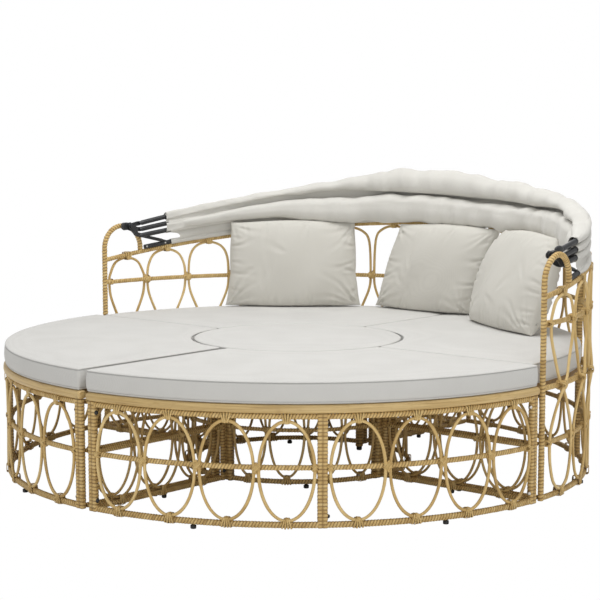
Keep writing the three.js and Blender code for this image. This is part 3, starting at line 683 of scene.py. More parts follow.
# ------------------------------------------------------------------ the quarter panels, for 0 to 90 degrees
A_CORNER = (SEAM + POST_W) / R_RAIL
A_POST = POST_W / 2 / R_RAIL
SPAN = math.pi / 4 - A_POST - A_CORNER
HALF = [A_CORNER + SPAN * (k + 0.5) / 4 for k in range(4)]
CENTRES = HALF + [math.pi / 2 - a for a in reversed(HALF)]
OVAL_W = SPAN / 4 * R_RAIL / 2 - CANE_R - 0.002
ZV = np.array([0.0, 0.0, 1.0])


def radial(a):
    return np.array([math.cos(a), math.sin(a), 0.0])


def tangent(a):
    return np.array([-math.sin(a), math.cos(a), 0.0])


def at(r, a, z):
    return np.array([r * math.cos(a), r * math.sin(a), z])


def arc_rail(g, r, z, a, b, x0, x1, pitch=0.0088, n=3.0, sides=12, slant=0.50, seed=0.0, zf=None, phases=(0, 0.12, 0.32, 0.68, 0.88), depth=0.0013):
    wrapped(g, arc_path(r, x0, zf, z), (x1 - x0) * r, section(a, b, sides, n), pitch, depth, slant, seed, phases=phases)


def flat_post(g, P, width, z0, z1, pitch=0.0098, scale=(1, 1), seed=0.0, phases=(0, 0.12, 0.32, 0.68, 0.88)):
    path, L = line_path((P[0], P[1], z0), (P[0], P[1], z1), width)
    wrapped(g, path, L, POST_SECTION * np.array(scale), pitch, 0.0014, 0.0, seed, seam_shade=POST_SEAM_SHADE, phases=phases)


def lashing_angles(a0, a1, n, w_angle):
    """Where the canes of n loops side by side touch, or end, between two posts."""
    step = (a1 - a0) / n
    out = [(a0 + step / 2 - w_angle, 1)]
    out += [(a0 + step * k, 2) for k in range(1, n)]
    out.append((a1 - step / 2 + w_angle, 1))
    return out


def front_base(light=False):
    g = Geo()
    lo, hi = SEAM / R_RAIL, math.pi / 2 - SEAM / R_RAIL
    for i, (x0, x1) in enumerate(((A_CORNER - 0.004, math.pi / 4 - A_POST + 0.004), (math.pi / 4 + A_POST - 0.004, math.pi / 2 - A_CORNER + 0.004))):
        arc_rail(g, R_RAIL, (Z_UP + Z_SEAT) / 2, 0.008, 0.0078, x0, x1, seed=1 + i)
        arc_rail(g, R_RAIL, 0.0202, 0.008, 0.0086, x0, x1, seed=3 + i)
        arc_rail(g, 0.8815, Z_MID, 0.0058, 0.0076, x0, x1, sides=10, seed=5 + i)
    for j, (P, w) in enumerate((((R_RAIL, SEAM + 0.014), (0, 1, 0)), ((SEAM + 0.014, R_RAIL), (1, 0, 0)),
                                ((R_RAIL * math.cos(math.pi / 4), R_RAIL * math.sin(math.pi / 4)), tangent(math.pi / 4)))):
        flat_post(g, P, w, Z_LOW, Z_SEAT, seed=7 + j)
    zc, h = (Z_UP + Z_LOW + RAIL_H) / 2, (Z_UP - Z_LOW - RAIL_H) / 2 - CANE_R
    t = TAU * np.arange(60) / 60
    for i, a in enumerate(CENTRES):
        ang = a + OVAL_W * np.cos(t) / R_RAIL
        r = 0.8905
        P = np.stack([r * np.cos(ang), r * np.sin(ang), zc + h * np.sin(t)], -1)
        N = np.stack([np.cos(ang), np.sin(ang), 0 * ang], -1)
        cane(g, P, N, seed=20 + i)
        for z0, z1 in ((Z_UP - 2 * CANE_R - 0.0012, Z_SEAT + 0.0002), (Z_LOW - 0.0004, Z_LOW + RAIL_H + 2 * CANE_R + 0.0012)):
            binding(g, at(R_RAIL, a, 0), radial(a), ZV, tangent(a), (-0.0088, 0.0106, z0, z1), 4, seed=40 + i + z0, fan=-32 if z0 > 0.1 else 32)
    for base, x1 in ((A_CORNER, math.pi / 4 - A_POST), (math.pi / 4 + A_POST, math.pi / 2 - A_CORNER)):
        for k, (a, kind) in enumerate(lashing_angles(base, x1, 4, OVAL_W / R_RAIL)):
            lashing(g, at(0.8875, a, Z_MID), tangent(a), ZV, radial(a), 0.0135 if kind == 2 else 0.0105, (-0.0125, 0.0088), seed=60 + k + base * 9, strands=3 if kind == 2 else 2)
            if kind == 2:
                for way in (1, -1):
                    knot(g, at(0.8955, a, Z_MID + 0.0125 * way), tangent(a) * 0.5 * way + ZV, 0.0042, seed=k + way, half=0.0045)
    for z in (0.043, 0.287):
        bolt(g, (R_RAIL, SEAM + POST_W, z), (0, 1, 0))
        bolt(g, (SEAM + POST_W, R_RAIL, z), (1, 0, 0), mat=4 if light else 3)
        bolt(g, at(R_RAIL, math.pi / 4 + A_POST, z), tangent(math.pi / 4))
    return g


def rear_back():
    g = Geo()
    start, seam_end = 0.0226, math.pi / 2 - (SEAM + 0.006) / R_RAIL
    for i, (x0, x1) in enumerate(((start, math.pi / 4 - A_POST + 0.004), (math.pi / 4 + A_POST - 0.004, seam_end))):
        arc_rail(g, R_RAIL, Z_LOW + RAIL_H / 2, 0.008, 0.0075, x0, x1, seed=101 + i, sides=10)
        arc_rail(g, 0.882, Z_MID, 0.006, 0.0074, x0, x1, seed=103 + i, sides=10)
        arc_rail(g, 0.882, 0.330, 0.007, 0.008, x0, x1, seed=105 + i, sides=10)
        arc_rail(g, 0.882, BACK_MID, 0.006, 0.0074, x0, x1, seed=107 + i, sides=10)
    arc_rail(g, R_RAIL, 0, 0.0078, 0.0078, start, seam_end, seed=109, sides=12, n=2.2, zf=top_z)
    # the arch, wound from the floor up over the pivot and down to the top rail
    y0, y1 = SEAM + 0.008, 0.172
    c, h = (y0 + y1) / 2, (y1 - y0) / 2
    pts = [(y0, z) for z in np.linspace(Z_LOW, ARCH_TOP - h - 0.001, 40)]
    pts += [(c + h * math.cos(t), ARCH_TOP - h + h * math.sin(t)) for t in np.linspace(math.pi, 0, 28)]
    pts += [(y1, z) for z in np.linspace(ARCH_TOP - h - 0.002, top_z(y1), 5)]
    path, L = poly_path([(math.sqrt(R_RAIL ** 2 - y * y), y, z) for y, z in pts], (1, 0.08, 0))
    wrapped(g, path, L, section(0.0088, 0.0088, 12, 2.2), 0.0100, 0.0018, 0.26, 111, phases=(0, 0.12, 0.32, 0.68, 0.88))
    m = math.pi / 4
    flat_post(g, (R_RAIL * math.cos(m), R_RAIL * math.sin(m)), tangent(m), Z_LOW, top_z(R_RAIL * math.sin(m)) - 0.004, seed=112)
    path, L = line_path((SEAM + 0.008, 0.892, Z_LOW), (SEAM + 0.008, 0.892, top_z(0.885) + 0.002), (1, 0, 0))
    wrapped(g, path, L, section(0.008, 0.008, 10, 3.4), 0.0095, 0.0014, 0.2, 113)
    low = [(0, 0.330), (0.30, 0.300), (0.64, 0.250), (0.90, 0.205), (0.97, 0.165), (0.88, 0.105), (0.58, 0.053), (0, 0.0315)]
    for i, a in enumerate(CENTRES):
        zt = top_z(R_RAIL * math.sin(a)) - 0.0115
        high = [(0.33, 0.362), (0.68, 0.415), (0.94, 0.465), (1, 0.513), (0.93, zt - 0.052), (0.62, zt - 0.014), (0, zt)]
        pts = [(0, 0.330, 1)] + [(f, z, 0) for f, z in high] + [(-f, z, 0) for f, z in high[-2::-1]]
        pts += [(0, 0.330, -1)] + [(f, z, 0) for f, z in low[1:]] + [(-f, z, 0) for f, z in low[-2:0:-1]]
        sp = spline([(f * OVAL_W, z, e) for f, z, e in pts], 5)
        s, z, e = sp[:, 0], sp[:, 1], sp[:, 2]
        near = np.exp(-((z - 0.330) / 0.05) ** 2)
        # the strand that climbs to the right passes in front of the one that climbs to the left
        order = np.where(np.arange(len(s)) < len(s) // 2, 1.0, 1.0)
        side = np.sign(s) * np.sign(z - 0.330 + 1e-9)
        r = 0.8935 + 0.003 * near + 0.0047 * near * np.clip(side * 1.0 + e * 0, -1, 1) * order
        k = np.array([0.25, 0.5, 0.25])
        r = np.convolve(np.concatenate([r[-3:], r, r[:3]]), k, "same")[3:-3]
        ang = a + s / R_RAIL
        P = np.stack([r * np.cos(ang), r * np.sin(ang), z], -1)
        N = np.stack([np.cos(ang), np.sin(ang), 0 * ang], -1)
        cane(g, P, N, seed=120 + i)
        ty = R_RAIL * math.sin(a)
        binding(g, at(R_RAIL, a, top_z(ty)), radial(a), ZV, tangent(a), (-0.0085, 0.0128, -0.0168, 0.0085), 4, seed=140 + i, fan=-30)
        binding(g, at(R_RAIL, a, 0), radial(a), ZV, tangent(a), (-0.0088, 0.0135, Z_LOW - 0.0004, Z_LOW + RAIL_H + 0.0098), 4, seed=150 + i, fan=32)
        lashing(g, at(0.8935, a, 0.330), tangent(a), ZV, radial(a), 0.0150, (-0.0195, 0.0135), seed=160 + i)
    for base, x1 in ((A_CORNER, math.pi / 4 - A_POST), (math.pi / 4 + A_POST, math.pi / 2 - A_CORNER)):
        for k, (a, kind) in enumerate(lashing_angles(base, x1, 4, OVAL_W / R_RAIL)):
            for z in (Z_MID, BACK_MID):
                lashing(g, at(0.8895, a, z), tangent(a), ZV, radial(a), 0.0145 if kind == 2 else 0.0105, (-0.0142, 0.0098), seed=170 + k + z + base * 9, strands=3 if kind == 2 else 2)
                if kind == 2:
                    knot(g, at(0.8985, a, z + 0.012), tangent(a) * 0.4 + ZV, 0.0045, seed=k + z, half=0.005)
    return g


def bolt(g, C, axis, r=0.0048, mat=3):
    """Washer and domed head, standing on a face."""
    turned(g, C, axis, [(0, r * 1.35), (0.0012, r * 1.35), (0.0014, r), (0.0034, r * 0.96), (0.0050, r * 0.72), (0.0057, r * 0.3)], 14, mat)


def end_panel(right_light=False):
    g = Geo()
    x0, x1 = R_IN + IN_W / 2 + 0.0005, R_RAIL - 0.0098
    y = SEAM + 0.006
    ph = (0, 0.14, 0.34, 0.66, 0.86)
    for z, b, yy, a in ((Z_LOW + RAIL_H / 2, 0.0075, y, 0.006), ((Z_UP + Z_SEAT) / 2, 0.0078, y, 0.006), (Z_MID, 0.0062, SEAM + 0.0078, 0.0042)):
        path, L = line_path((x0 + 0.012, yy, z), (x1 - 0.0005, yy, z), (0, 1, 0))
        wrapped(g, path, L, section(a, b, 8, 3.0), 0.0080, 0.0012, 0.45, 201 + z * 7, phases=ph)
    for i, x in enumerate((x0 + 0.008,)):
        path, L = line_path((x, y, Z_LOW), (x, y, Z_SEAT), (1, 0, 0))
        wrapped(g, path, L, section(0.008, 0.006, 10, 3.2), 0.0090, 0.0013, 0.0, 205 + i, phases=ph)
    pitch = (x1 - x0 - 0.032) / 3
    zc, h = (Z_UP + Z_LOW + RAIL_H) / 2, (Z_UP - Z_LOW - RAIL_H) / 2 - 0.004
    t = TAU * np.arange(48) / 48
    w = pitch / 2 - 0.005
    for k in range(3):
        c = x0 + 0.016 + pitch * (k + 0.5)
        P = np.stack([c + w * np.cos(t), 0 * t + SEAM + 0.0032, zc + h * np.sin(t)], -1)
        cane(g, P, np.broadcast_to((0, -1, 0), P.shape), 0.004, 7, seed=210 + k)
        for z0, z1 in ((Z_UP - 0.0092, Z_SEAT + 0.0002), (Z_LOW - 0.0004, Z_LOW + RAIL_H + 0.0092)):
            binding(g, (c, 0, 0), (0, 1, 0), ZV, (1, 0, 0), (SEAM - 0.0014, SEAM + 0.0128, z0, z1), 4, seed=220 + k + z0, r=0.003, fan=-32 if z0 > 0.1 else 32)
        for xx, kind in ((c - w, 1), (c + w, 1)) if k == 1 else ((c - w if k == 0 else c + w, 1),):
            lashing(g, (xx, SEAM + 0.006, Z_MID), (1, 0, 0), ZV, (0, -1, 0), 0.0120, (-0.0070, 0.0078), seed=230 + k + xx, strands=2)
    turned(g, (0.606, SEAM + 0.006, 0.0160), (0, 0, -1), [(0, 0.0056), (0.004, 0.0056), (0.0045, 0.0070), (0.0130, 0.0072), (0.0160, 0.0058)], 14, 5)
    for z in (0.041, 0.289):
        bolt(g, (x0 + 0.008, SEAM + 0.0116, z), (0, 1, 0))
    return g


def inner_panel():
    g = Geo()
    a0, a1 = (SEAM + POST_W) / R_IN - 0.01, math.pi / 2 - (SEAM + POST_W) / R_IN + 0.01
    ph = (0, 0.14, 0.34, 0.66, 0.86)
    arc_rail(g, R_IN, (Z_UP + Z_SEAT) / 2, 0.007, 0.0078, a0, a1, seed=301, sides=8, phases=ph)
    arc_rail(g, R_IN, Z_LOW + RAIL_H / 2, 0.007, 0.0075, a0, a1, seed=302, sides=8, phases=ph)
    arc_rail(g, 0.3478, Z_MID, 0.0042, 0.0062, a0, a1, seed=303, sides=8, phases=ph)
    flat_post(g, (R_IN, SEAM + 0.014), (0, 1, 0), Z_LOW, Z_SEAT, scale=(1, 0.85), seed=304)
    flat_post(g, (SEAM + 0.014, R_IN), (1, 0, 0), Z_LOW, Z_SEAT, scale=(1, 0.85), seed=305)
    c0 = (SEAM + POST_W) / R_IN
    pitch = (math.pi / 2 - 2 * c0) / 4
    zc, h = (Z_UP + Z_LOW + RAIL_H) / 2, (Z_UP - Z_LOW - RAIL_H) / 2 - 0.004
    w = pitch * R_IN / 2 - 0.005
    t = TAU * np.arange(44) / 44
    for k in range(4):
        a = c0 + pitch * (k + 0.5)
        ang = a + w * np.cos(t) / R_IN
        r = 0.3405
        P = np.stack([r * np.cos(ang), r * np.sin(ang), zc + h * np.sin(t)], -1)
        N = -np.stack([np.cos(ang), np.sin(ang), 0 * ang], -1)
        cane(g, P, N, 0.004, 7, seed=310 + k)
        for z0, z1 in ((Z_UP - 0.0092, Z_SEAT + 0.0002), (Z_LOW - 0.0004, Z_LOW + RAIL_H + 0.0092)):
            binding(g, at(R_IN, a, 0), radial(a), ZV, tangent(a), (-0.0092, 0.0076, z0, z1), 4, seed=320 + k + z0, r=0.003, fan=-32 if z0 > 0.1 else 32)
    for k, (a, kind) in enumerate(lashing_angles(c0, math.pi / 2 - c0, 4, w / R_IN)):
        lashing(g, at(0.344, a, Z_MID), tangent(a), ZV, -radial(a), 0.0120 if kind == 2 else 0.0095, (-0.0090, 0.0082), seed=330 + k, strands=2)
    return g


def ottoman_frame():
    """Four wound legs under a wound ring with two crossing bars."""
    g = Geo()
    ph = (0, 0.14, 0.34, 0.66, 0.86)
    wrapped(g, arc_path(0.3155, 0.01, None, 0.305), TAU * 0.3155 - 0.0003, section(0.0080, 0.0125, 10, 3.2), 0.0088, 0.0012, 0.45, 501, phases=ph, caps=False)
    wrapped(g, arc_path(0.2770, 0.02, None, 0.306), TAU * 0.2770 - 0.0003, section(0.0085, 0.0115, 8, 3.0), 0.0100, 0.0012, 0.3, 502, phases=ph, caps=False)
    for i in range(2):
        a = math.pi / 2 * i + math.pi / 4
        d = radial(a)
        path, L = line_path(tuple(d * -0.272 + (0, 0, 0.3090)), tuple(d * 0.272 + (0, 0, 0.3090)), tangent(a))
        wrapped(g, path, L, section(0.010, 0.0078, 8, 3.0), 0.0088, 0.0011, 0.3, 503 + i, phases=ph)
    for i in range(4):
        a = math.pi / 2 * i
        path, L = line_path(tuple(at(0.308, a, 0.0125)), tuple(at(0.308, a, 0.2930)), tangent(a))
        wrapped(g, path, L, section(0.0108, 0.0108, 12, 3.2), 0.0098, 0.0014, 0.0, 506 + i, phases=ph)
        turned(g, at(0.308, a, 0.0127), (0, 0, -1), [(0, 0.0085), (0.0022, 0.0090), (0.0100, 0.0090), (0.0127, 0.0072)], 16, 5)
    return g


def cap_rail():
    g = Geo()
    lo = SEAM / R_OUT
    smooth_member(g, arc_path(0.885, lo, None, (Z_CAP0 + Z_CAP1) / 2), (math.pi / 2 - 2 * lo) * 0.885, section(0.015, 0.012, 24, 2.9), 72, 0.007, 401)
    return g


def glide(P):
    g = Geo()
    turned(g, (P[0], P[1], 0.0117), (0, 0, -1), [(0, 0.0050), (0.0022, 0.0052), (0.0024, 0.0080), (0.0095, 0.0080), (0.0112, 0.0072), (0.0117, 0.0058)], 18, 5)
    return g


# ------------------------------------------------------------------ placing them
def rot(a):
    m = np.eye(4)
    m[0, 0] = m[1, 1] = math.cos(a)
    m[0, 1], m[1, 0] = -math.sin(a), math.sin(a)
    return m


IDENT, TURN = np.eye(4), rot(-math.pi / 2)
MIRROR = np.diag([-1.0, 1, 1, 1])
SWAP = np.array([[0, 1, 0, 0], [1, 0, 0, 0], [0, 0, 1, 0], [0, 0, 0, 1.0]])

BODY = {}
for body, nodes in frame["record"]["behaviour"]["bodies"].items():
    for n in nodes:
        BODY[n] = body
DONE = {}


def place(geo, node, mats, label=None, body=None, m=None, turn=0.0, also=()):
    """Makes a piece from a Geo, stands it for a node and lets it ride on the node's body."""
    g = Geo()
    g.copy_in(geo, m, turn)
    o = g.make(label or node + "_visual", mats)
    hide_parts(node, *also)
    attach(o, body or BODY[node])
    DONE[node] = o
    return o


PANELS = dict(base=front_base(True), base_dark=front_base(), back=rear_back(), end=end_panel(), end_light=end_panel(True), inner=inner_panel(), cap=cap_rail())
for i, (side, M) in enumerate((("right", IDENT), ("left", MIRROR))):
    F = M @ TURN
    place(PANELS["base_dark" if i else "base"], f"front_{side}_base_panel", RMATS, m=F, turn=0.13 + 0.31 * i)
    place(PANELS["inner"], f"front_{side}_inner_panel", RMATS, m=F, turn=0.21 + 0.31 * i)
    place(PANELS["end"], f"front_{side}_middle_end_panel", RMATS, m=F, turn=0.37 + 0.31 * i)
    place(PANELS["end_light"], f"front_{side}_side_end_panel", RMATS, m=F @ SWAP, turn=0.47 + 0.31 * i)
    place(PANELS["cap"], f"front_{side}_cap_rail", [CAP], m=F, turn=0.59 + 0.31 * i)
    place(PANELS["back"], f"rear_{side}_back_panel", RMATS, m=M, turn=0.05 + 0.31 * i)
    place(PANELS["inner"], f"rear_{side}_inner_panel", RMATS, m=M, turn=0.71 + 0.31 * i)
    place(PANELS["end"], f"rear_{side}_side_end_panel", RMATS, m=M, turn=0.83 + 0.31 * i)
    place(PANELS["end"], f"rear_{side}_middle_end_panel", RMATS, m=M @ SWAP, turn=0.91 + 0.31 * i)
for q, start in (("front_right", -90), ("rear_right", 0), ("rear_left", 90), ("front_left", 180)):
    for k, (a, r) in enumerate(((22.5, R_RAIL), (67.5, R_RAIL), (45, R_IN))):
        t = math.radians(start + a)
        place(glide((r * math.cos(t), r * math.sin(t))), f"{q}_glide_foot_{k + 1}", RMATS)
place(ottoman_frame(), "ottoman_frame", RMATS)
frame["nodes"]["ottoman_top"].data.materials.clear()
frame["nodes"]["ottoman_top"].data.materials.append(DECK)
for side in ("right", "left"):
    for q in ("front", "rear"):
        o = frame["nodes"][f"{q}_{side}_seat_deck"]
        o.data.materials.clear()
        o.data.materials.append(DECK)

# ------------------------------------------------------------------ seat cushions
EDGE = np.array([0, 0.0012, 0.0026, 0.0044, 0.0068, 0.010, 0.015, 0.022, 0.032])


def metric(total, n):
    """Distances from 0 to total, close together near both ends."""
    mid = np.linspace(EDGE[-1], total - EDGE[-1], n + 2)[1:-1]
    return np.concatenate([EDGE, mid, total - EDGE[::-1]])


def rounded_corner(P, corner, t1, t2, rho, dist):
    """Moves the points of one edge near a corner on to a quarter circle."""
    out = P.copy()
    for k, s in enumerate(dist):
        if s < rho:
            th = (1 - s / rho) * math.pi / 4
            out[k] = corner + rho * (t1 + t2) - rho * (t2 * math.cos(th) + t1 * math.sin(th))
    return out


NO, NS = 60, 20


def wedge_ring(d, ri, ro, h, rho):
    R, r, s = ro - d, ri + d, h + d
    rho = max(rho - d, 0.0006)
    a0, b0 = math.asin(s / R), math.asin(s / r)
    arc_o = (math.pi / 2 - 2 * a0) * R
    arc_i = (math.pi / 2 - 2 * b0) * r
    side = math.sqrt(R * R - s * s) - math.sqrt(r * r - s * s)
    eo, ei, es = metric(arc_o, NO), metric(arc_i, NO), metric(side, NS)
    O = np.array([(R * math.cos(a0 + e / R), R * math.sin(a0 + e / R)) for e in eo])
    I = np.array([(r * math.cos(b0 + e / r), r * math.sin(b0 + e / r)) for e in ei])
    x0, x1 = math.sqrt(R * R - s * s), math.sqrt(r * r - s * s)
    A = np.array([(x0 - e, s) for e in es])
    B = A[:, ::-1].copy()
    ta, tb = np.array([-math.sin(a0), math.cos(a0)]), np.array([-math.sin(b0), math.cos(b0)])
    ex, ey = np.array([1.0, 0]), np.array([0, 1.0])
    CO, CI = O[0].copy(), I[0].copy()
    O1 = rounded_corner(O, CO, ta, -ex, rho, eo)
    A1 = rounded_corner(A, CO, -ex, ta, rho, es)
    I1 = rounded_corner(I, CI, tb, ex, rho, ei)
    A1 = A1[::-1]
    A1 = rounded_corner(A1, CI, ex, tb, rho, es)[::-1]
    # the same at the other side, mirrored across the middle of the wedge
    half = len(O) // 2
    O1[half:] = O1[: len(O) - half][::-1][:, ::-1] if len(O) % 2 == 0 else O1[: half + 1][::-1][:, ::-1]
    I1[half:] = I1[: len(I) - half][::-1][:, ::-1] if len(I) % 2 == 0 else I1[: half + 1][::-1][:, ::-1]
    B1 = A1[:, ::-1].copy()
    return O1, B1, I1, A1


def ring_points(parts):
    O, B, I, A = parts
    return np.concatenate([O, B[1:], I[::-1][1:], A[::-1][1:-1]])


def coons(parts):
    O, B, I, A = parts
    u = np.linspace(0, 1, len(O))[:, None, None]
    d = np.concatenate([[0], np.cumsum(np.linalg.norm(np.diff(A, axis=0), axis=1))])
    v = (d / d[-1])[None, :, None]
    lo = (1 - v) * O[:, None] + v * I[:, None] + (1 - u) * A[None] + u * B[None]
    return lo - ((1 - u) * (1 - v) * O[0] + u * (1 - v) * O[-1] + (1 - u) * v * I[0] + u * v * I[-1])


CUSHION_PROFILE = [  # inset, height, painted shade in the seam grooves
    (0.0300, 0.0, 0), (0.0110, 0.0, 0), (0.0050, 0.0006, 0), (0.0022, 0.0026, 0), (0.0008, 0.0058, 0.2), (0.0016, 0.0068, 1), (0.0004, 0.0080, 0.2),
    (-0.0004, 0.0120, 0), (-0.0014, 0.0210, 0), (-0.0019, 0.0300, 0), (-0.0014, 0.0400, 0), (-0.0004, 0.0490, 0), (0.0002, 0.0530, 0.0),
    (0.0005, 0.0545, 0.35), (0.0019, 0.0556, 1), (0.0019, 0.0563, 1), (0.0006, 0.0572, 0.35), (0.0012, 0.0586, 0), (0.0026, 0.0600, 0), (0.0050, 0.0608, 0), (0.0090, 0.0613, 0), (0.0160, 0.0619, 0), (0.0300, 0.0628, 0)]
CROWN = 0.0018


def ripples(x, y, seed):
    """Slow undulations of a foam seat under cloth, -1 to 1."""
    s = seed * 2.399
    return (np.sin(x * 11 + y * 5 + s) + np.sin(-x * 7 + y * 13 + 1.3 * s) + 0.7 * np.sin(x * 23 - y * 17 + 2.1 * s) + 0.5 * np.sin(x * 31 + y * 29 + s)) / 3.2


def cushion_from(rings, grid_lo, grid_hi, seed, inner_dist):
    """rings: list of (points, z, tone); grids: interior points of the last rings, with their boundary."""
    g = Geo()
    V, T = [], []
    for P, z, tone in rings:
        V.append(np.column_stack([P, np.full(len(P), z)]))
        T.append(np.full(len(P), tone))
    V, T = np.array(V), np.array(T)
    n, m = T.shape
    x, y = V[..., 0], V[..., 1]
    zz = V[..., 2] - Z_CUSH0
    side = np.exp(-((zz - 0.031) / 0.017) ** 2)
    along = np.arctan2(y, x) * 0.9 + np.hypot(x, y)
    nrm = unit(np.roll(V, -1, axis=1) - np.roll(V, 1, axis=1))
    outn = np.stack([nrm[..., 1], -nrm[..., 0], 0 * x], -1)
    creases = 0.0007 * (np.sin(along * 34 + seed) + 0.6 * np.sin(along * 61 - zz * 30 + 2 * seed))
    V = V + outn * (side * creases)[..., None]
    top = np.clip((zz - 0.0605) / 0.002, 0, 1)
    V[..., 2] += top * 0.0009 * ripples(x, y, seed)
    tone = np.zeros((n, m, 3))
    # tone.y: painted shade in the seam grooves
    tone[..., 1] = T
    g.add(V, [grid_faces(n, m)], tone.reshape(-1, 3), V.reshape(-1, 3), 0)
    for G, z, up in ((grid_lo, rings[0][1], False), (grid_hi, rings[-1][1], True)):
        gx, gy = G[..., 0], G[..., 1]
        if up:
            dist = inner_dist(gx, gy)
            Z = z + CROWN * (1 - np.exp(-np.maximum(dist, 0) / 0.06)) + 0.0009 * ripples(gx, gy, seed)
        else:
            Z = np.full(gx.shape, z)
        Q = np.stack([gx, gy, Z], -1)
        g.add(Q, [grid_faces(G.shape[0], G.shape[1], wrap_m=False, flip=up)], (0, 0, 0), Q.reshape(-1, 3), 0)
    return g


def wedge_cushion(ro, seed, h=0.0105, ri=0.3275, rho=0.007):
    rings, parts = [], None
    for d, z, tone in CUSHION_PROFILE:
        parts = wedge_ring(d, ri, ro, h, rho)
        rings.append((ring_points(parts), Z_CUSH0 + z, tone))
        if len(rings) == 1:
            lo = coons(parts)
    hi = coons(parts)
    D = CUSHION_PROFILE[-1][0]

    def dist(x, y):
        r = np.hypot(x, y)
        return np.minimum(np.minimum(ro - D - r, r - ri - D), np.minimum(x, y) - h - D)

    return cushion_from(rings, lo, hi, seed, dist)


def weld(o, dist=2e-5):
    bm = bmesh.new()
    bm.from_mesh(o.data)
    bmesh.ops.remove_doubles(bm, verts=bm.verts, dist=dist)
    bmesh.ops.recalc_face_normals(bm, faces=bm.faces)
    bm.to_mesh(o.data)
    bm.free()
    o.data.polygons.foreach_set("use_smooth", np.ones(len(o.data.polygons), bool))
    o.data.update()


for i, (side, M) in enumerate((("right", IDENT), ("left", MIRROR))):
    for q, ro, m in (("front", 0.895, M @ TURN), ("rear", 0.868, M)):
        node = f"{q}_{side}_seat_cushion"
        cushion = wedge_cushion(ro, 1 + i + 2 * (q == "rear"))
        if q == "front":
            for part in cushion.v:
                u = part[:, 0] if side == "right" else part[:, 1]
                u += 0.008 * np.exp(-np.maximum(u - 0.0105, 0) / 0.055)
        else:
            # the rear cushions swell almost up to their neighbours
            swell = 0.019 if side == "right" else 0.013
            for part in cushion.v:
                for axis, much in ((0, 0.007), (1, swell)):
                    u = part[:, axis]
                    u -= much * np.exp(-np.maximum(u - 0.0105, 0) / 0.070)
        o = place(cushion, node, [SEAT_CLOTH], m=m)
        weld(o)


def round_cushion():
    m = 160
    a = TAU * np.arange(m) / m
    rings = []
    for d, z, tone in CUSHION_PROFILE:
        r = R_OTTO - d
        rings.append((np.column_stack([r * np.cos(a), r * np.sin(a)]), Z_CUSH0 + z, tone))
    g = cushion_round_body(rings)
    return g


def cushion_round_body(rings):
    g = Geo()
    V = np.array([np.column_stack([P, np.full(len(P), z)]) for P, z, _ in rings])
    T = np.array([np.full(len(P), t) for P, _, t in rings])
    extra, tone = [], []
    last = rings[-1]
    R = R_OTTO - CUSHION_PROFILE[-1][0]
    for f in (0.92, 0.8, 0.65, 0.5, 0.36, 0.23, 0.12, 0.04):
        P = last[0] * f
        z = last[1] + CROWN * (1 - np.exp(-R * (1 - f) / 0.06))
        extra.append(np.column_stack([P, np.full(len(P), z)]))
    V = np.concatenate([V, np.array(extra)])
    T = np.concatenate([T, np.zeros((len(extra), T.shape[1]))])
    x, y = V[..., 0], V[..., 1]
    top = np.clip((V[..., 2] - Z_CUSH0 - 0.0605) / 0.002, 0, 1)
    V[..., 2] += top * 0.0009 * ripples(x, y, 7)
    n, m = T.shape
    tone = np.zeros((n, m, 3))
    # tone.y: painted shade in the seam grooves
    tone[..., 1] = T
    g.add(V, [grid_faces(n, m)], tone.reshape(-1, 3), V.reshape(-1, 3), 0)
    a = np.arange(m)
    for ring in (a[::-1], a + (n - 1) * m):
        g.loops.append(ring.astype(int))
        g.sizes.append(np.array([m]))
        g.mats.append(np.array([0]))
    return g


o = place(round_cushion(), "ottoman_cushion", [SEAT_CLOTH])
weld(o, 1e-6)

# ------------------------------------------------------------------ throw pillows
def crease(X, Y, x0, y0, ang, length, width, depth):
    """A soft fold that starts at a point of the cover and fades out."""
    c, q = math.cos(ang), math.sin(ang)
    along = (X - x0) * c + (Y - y0) * q
    across = -(X - x0) * q + (Y - y0) * c
    across = across + 0.10 * along * np.sin(along * 30 + x0 * 91 + y0 * 57)
    w = width * (0.55 + 0.9 * np.clip(along / length, 0, 1.3))
    p = across / w
    fade = np.exp(-np.clip(along / length, 0, None) ** 2 * 2.2) * (1 / (1 + np.exp(-along / 0.004)))
    return depth * fade * (-np.exp(-p * p) + 0.45 * np.exp(-(np.abs(p) - 1.9) ** 2))


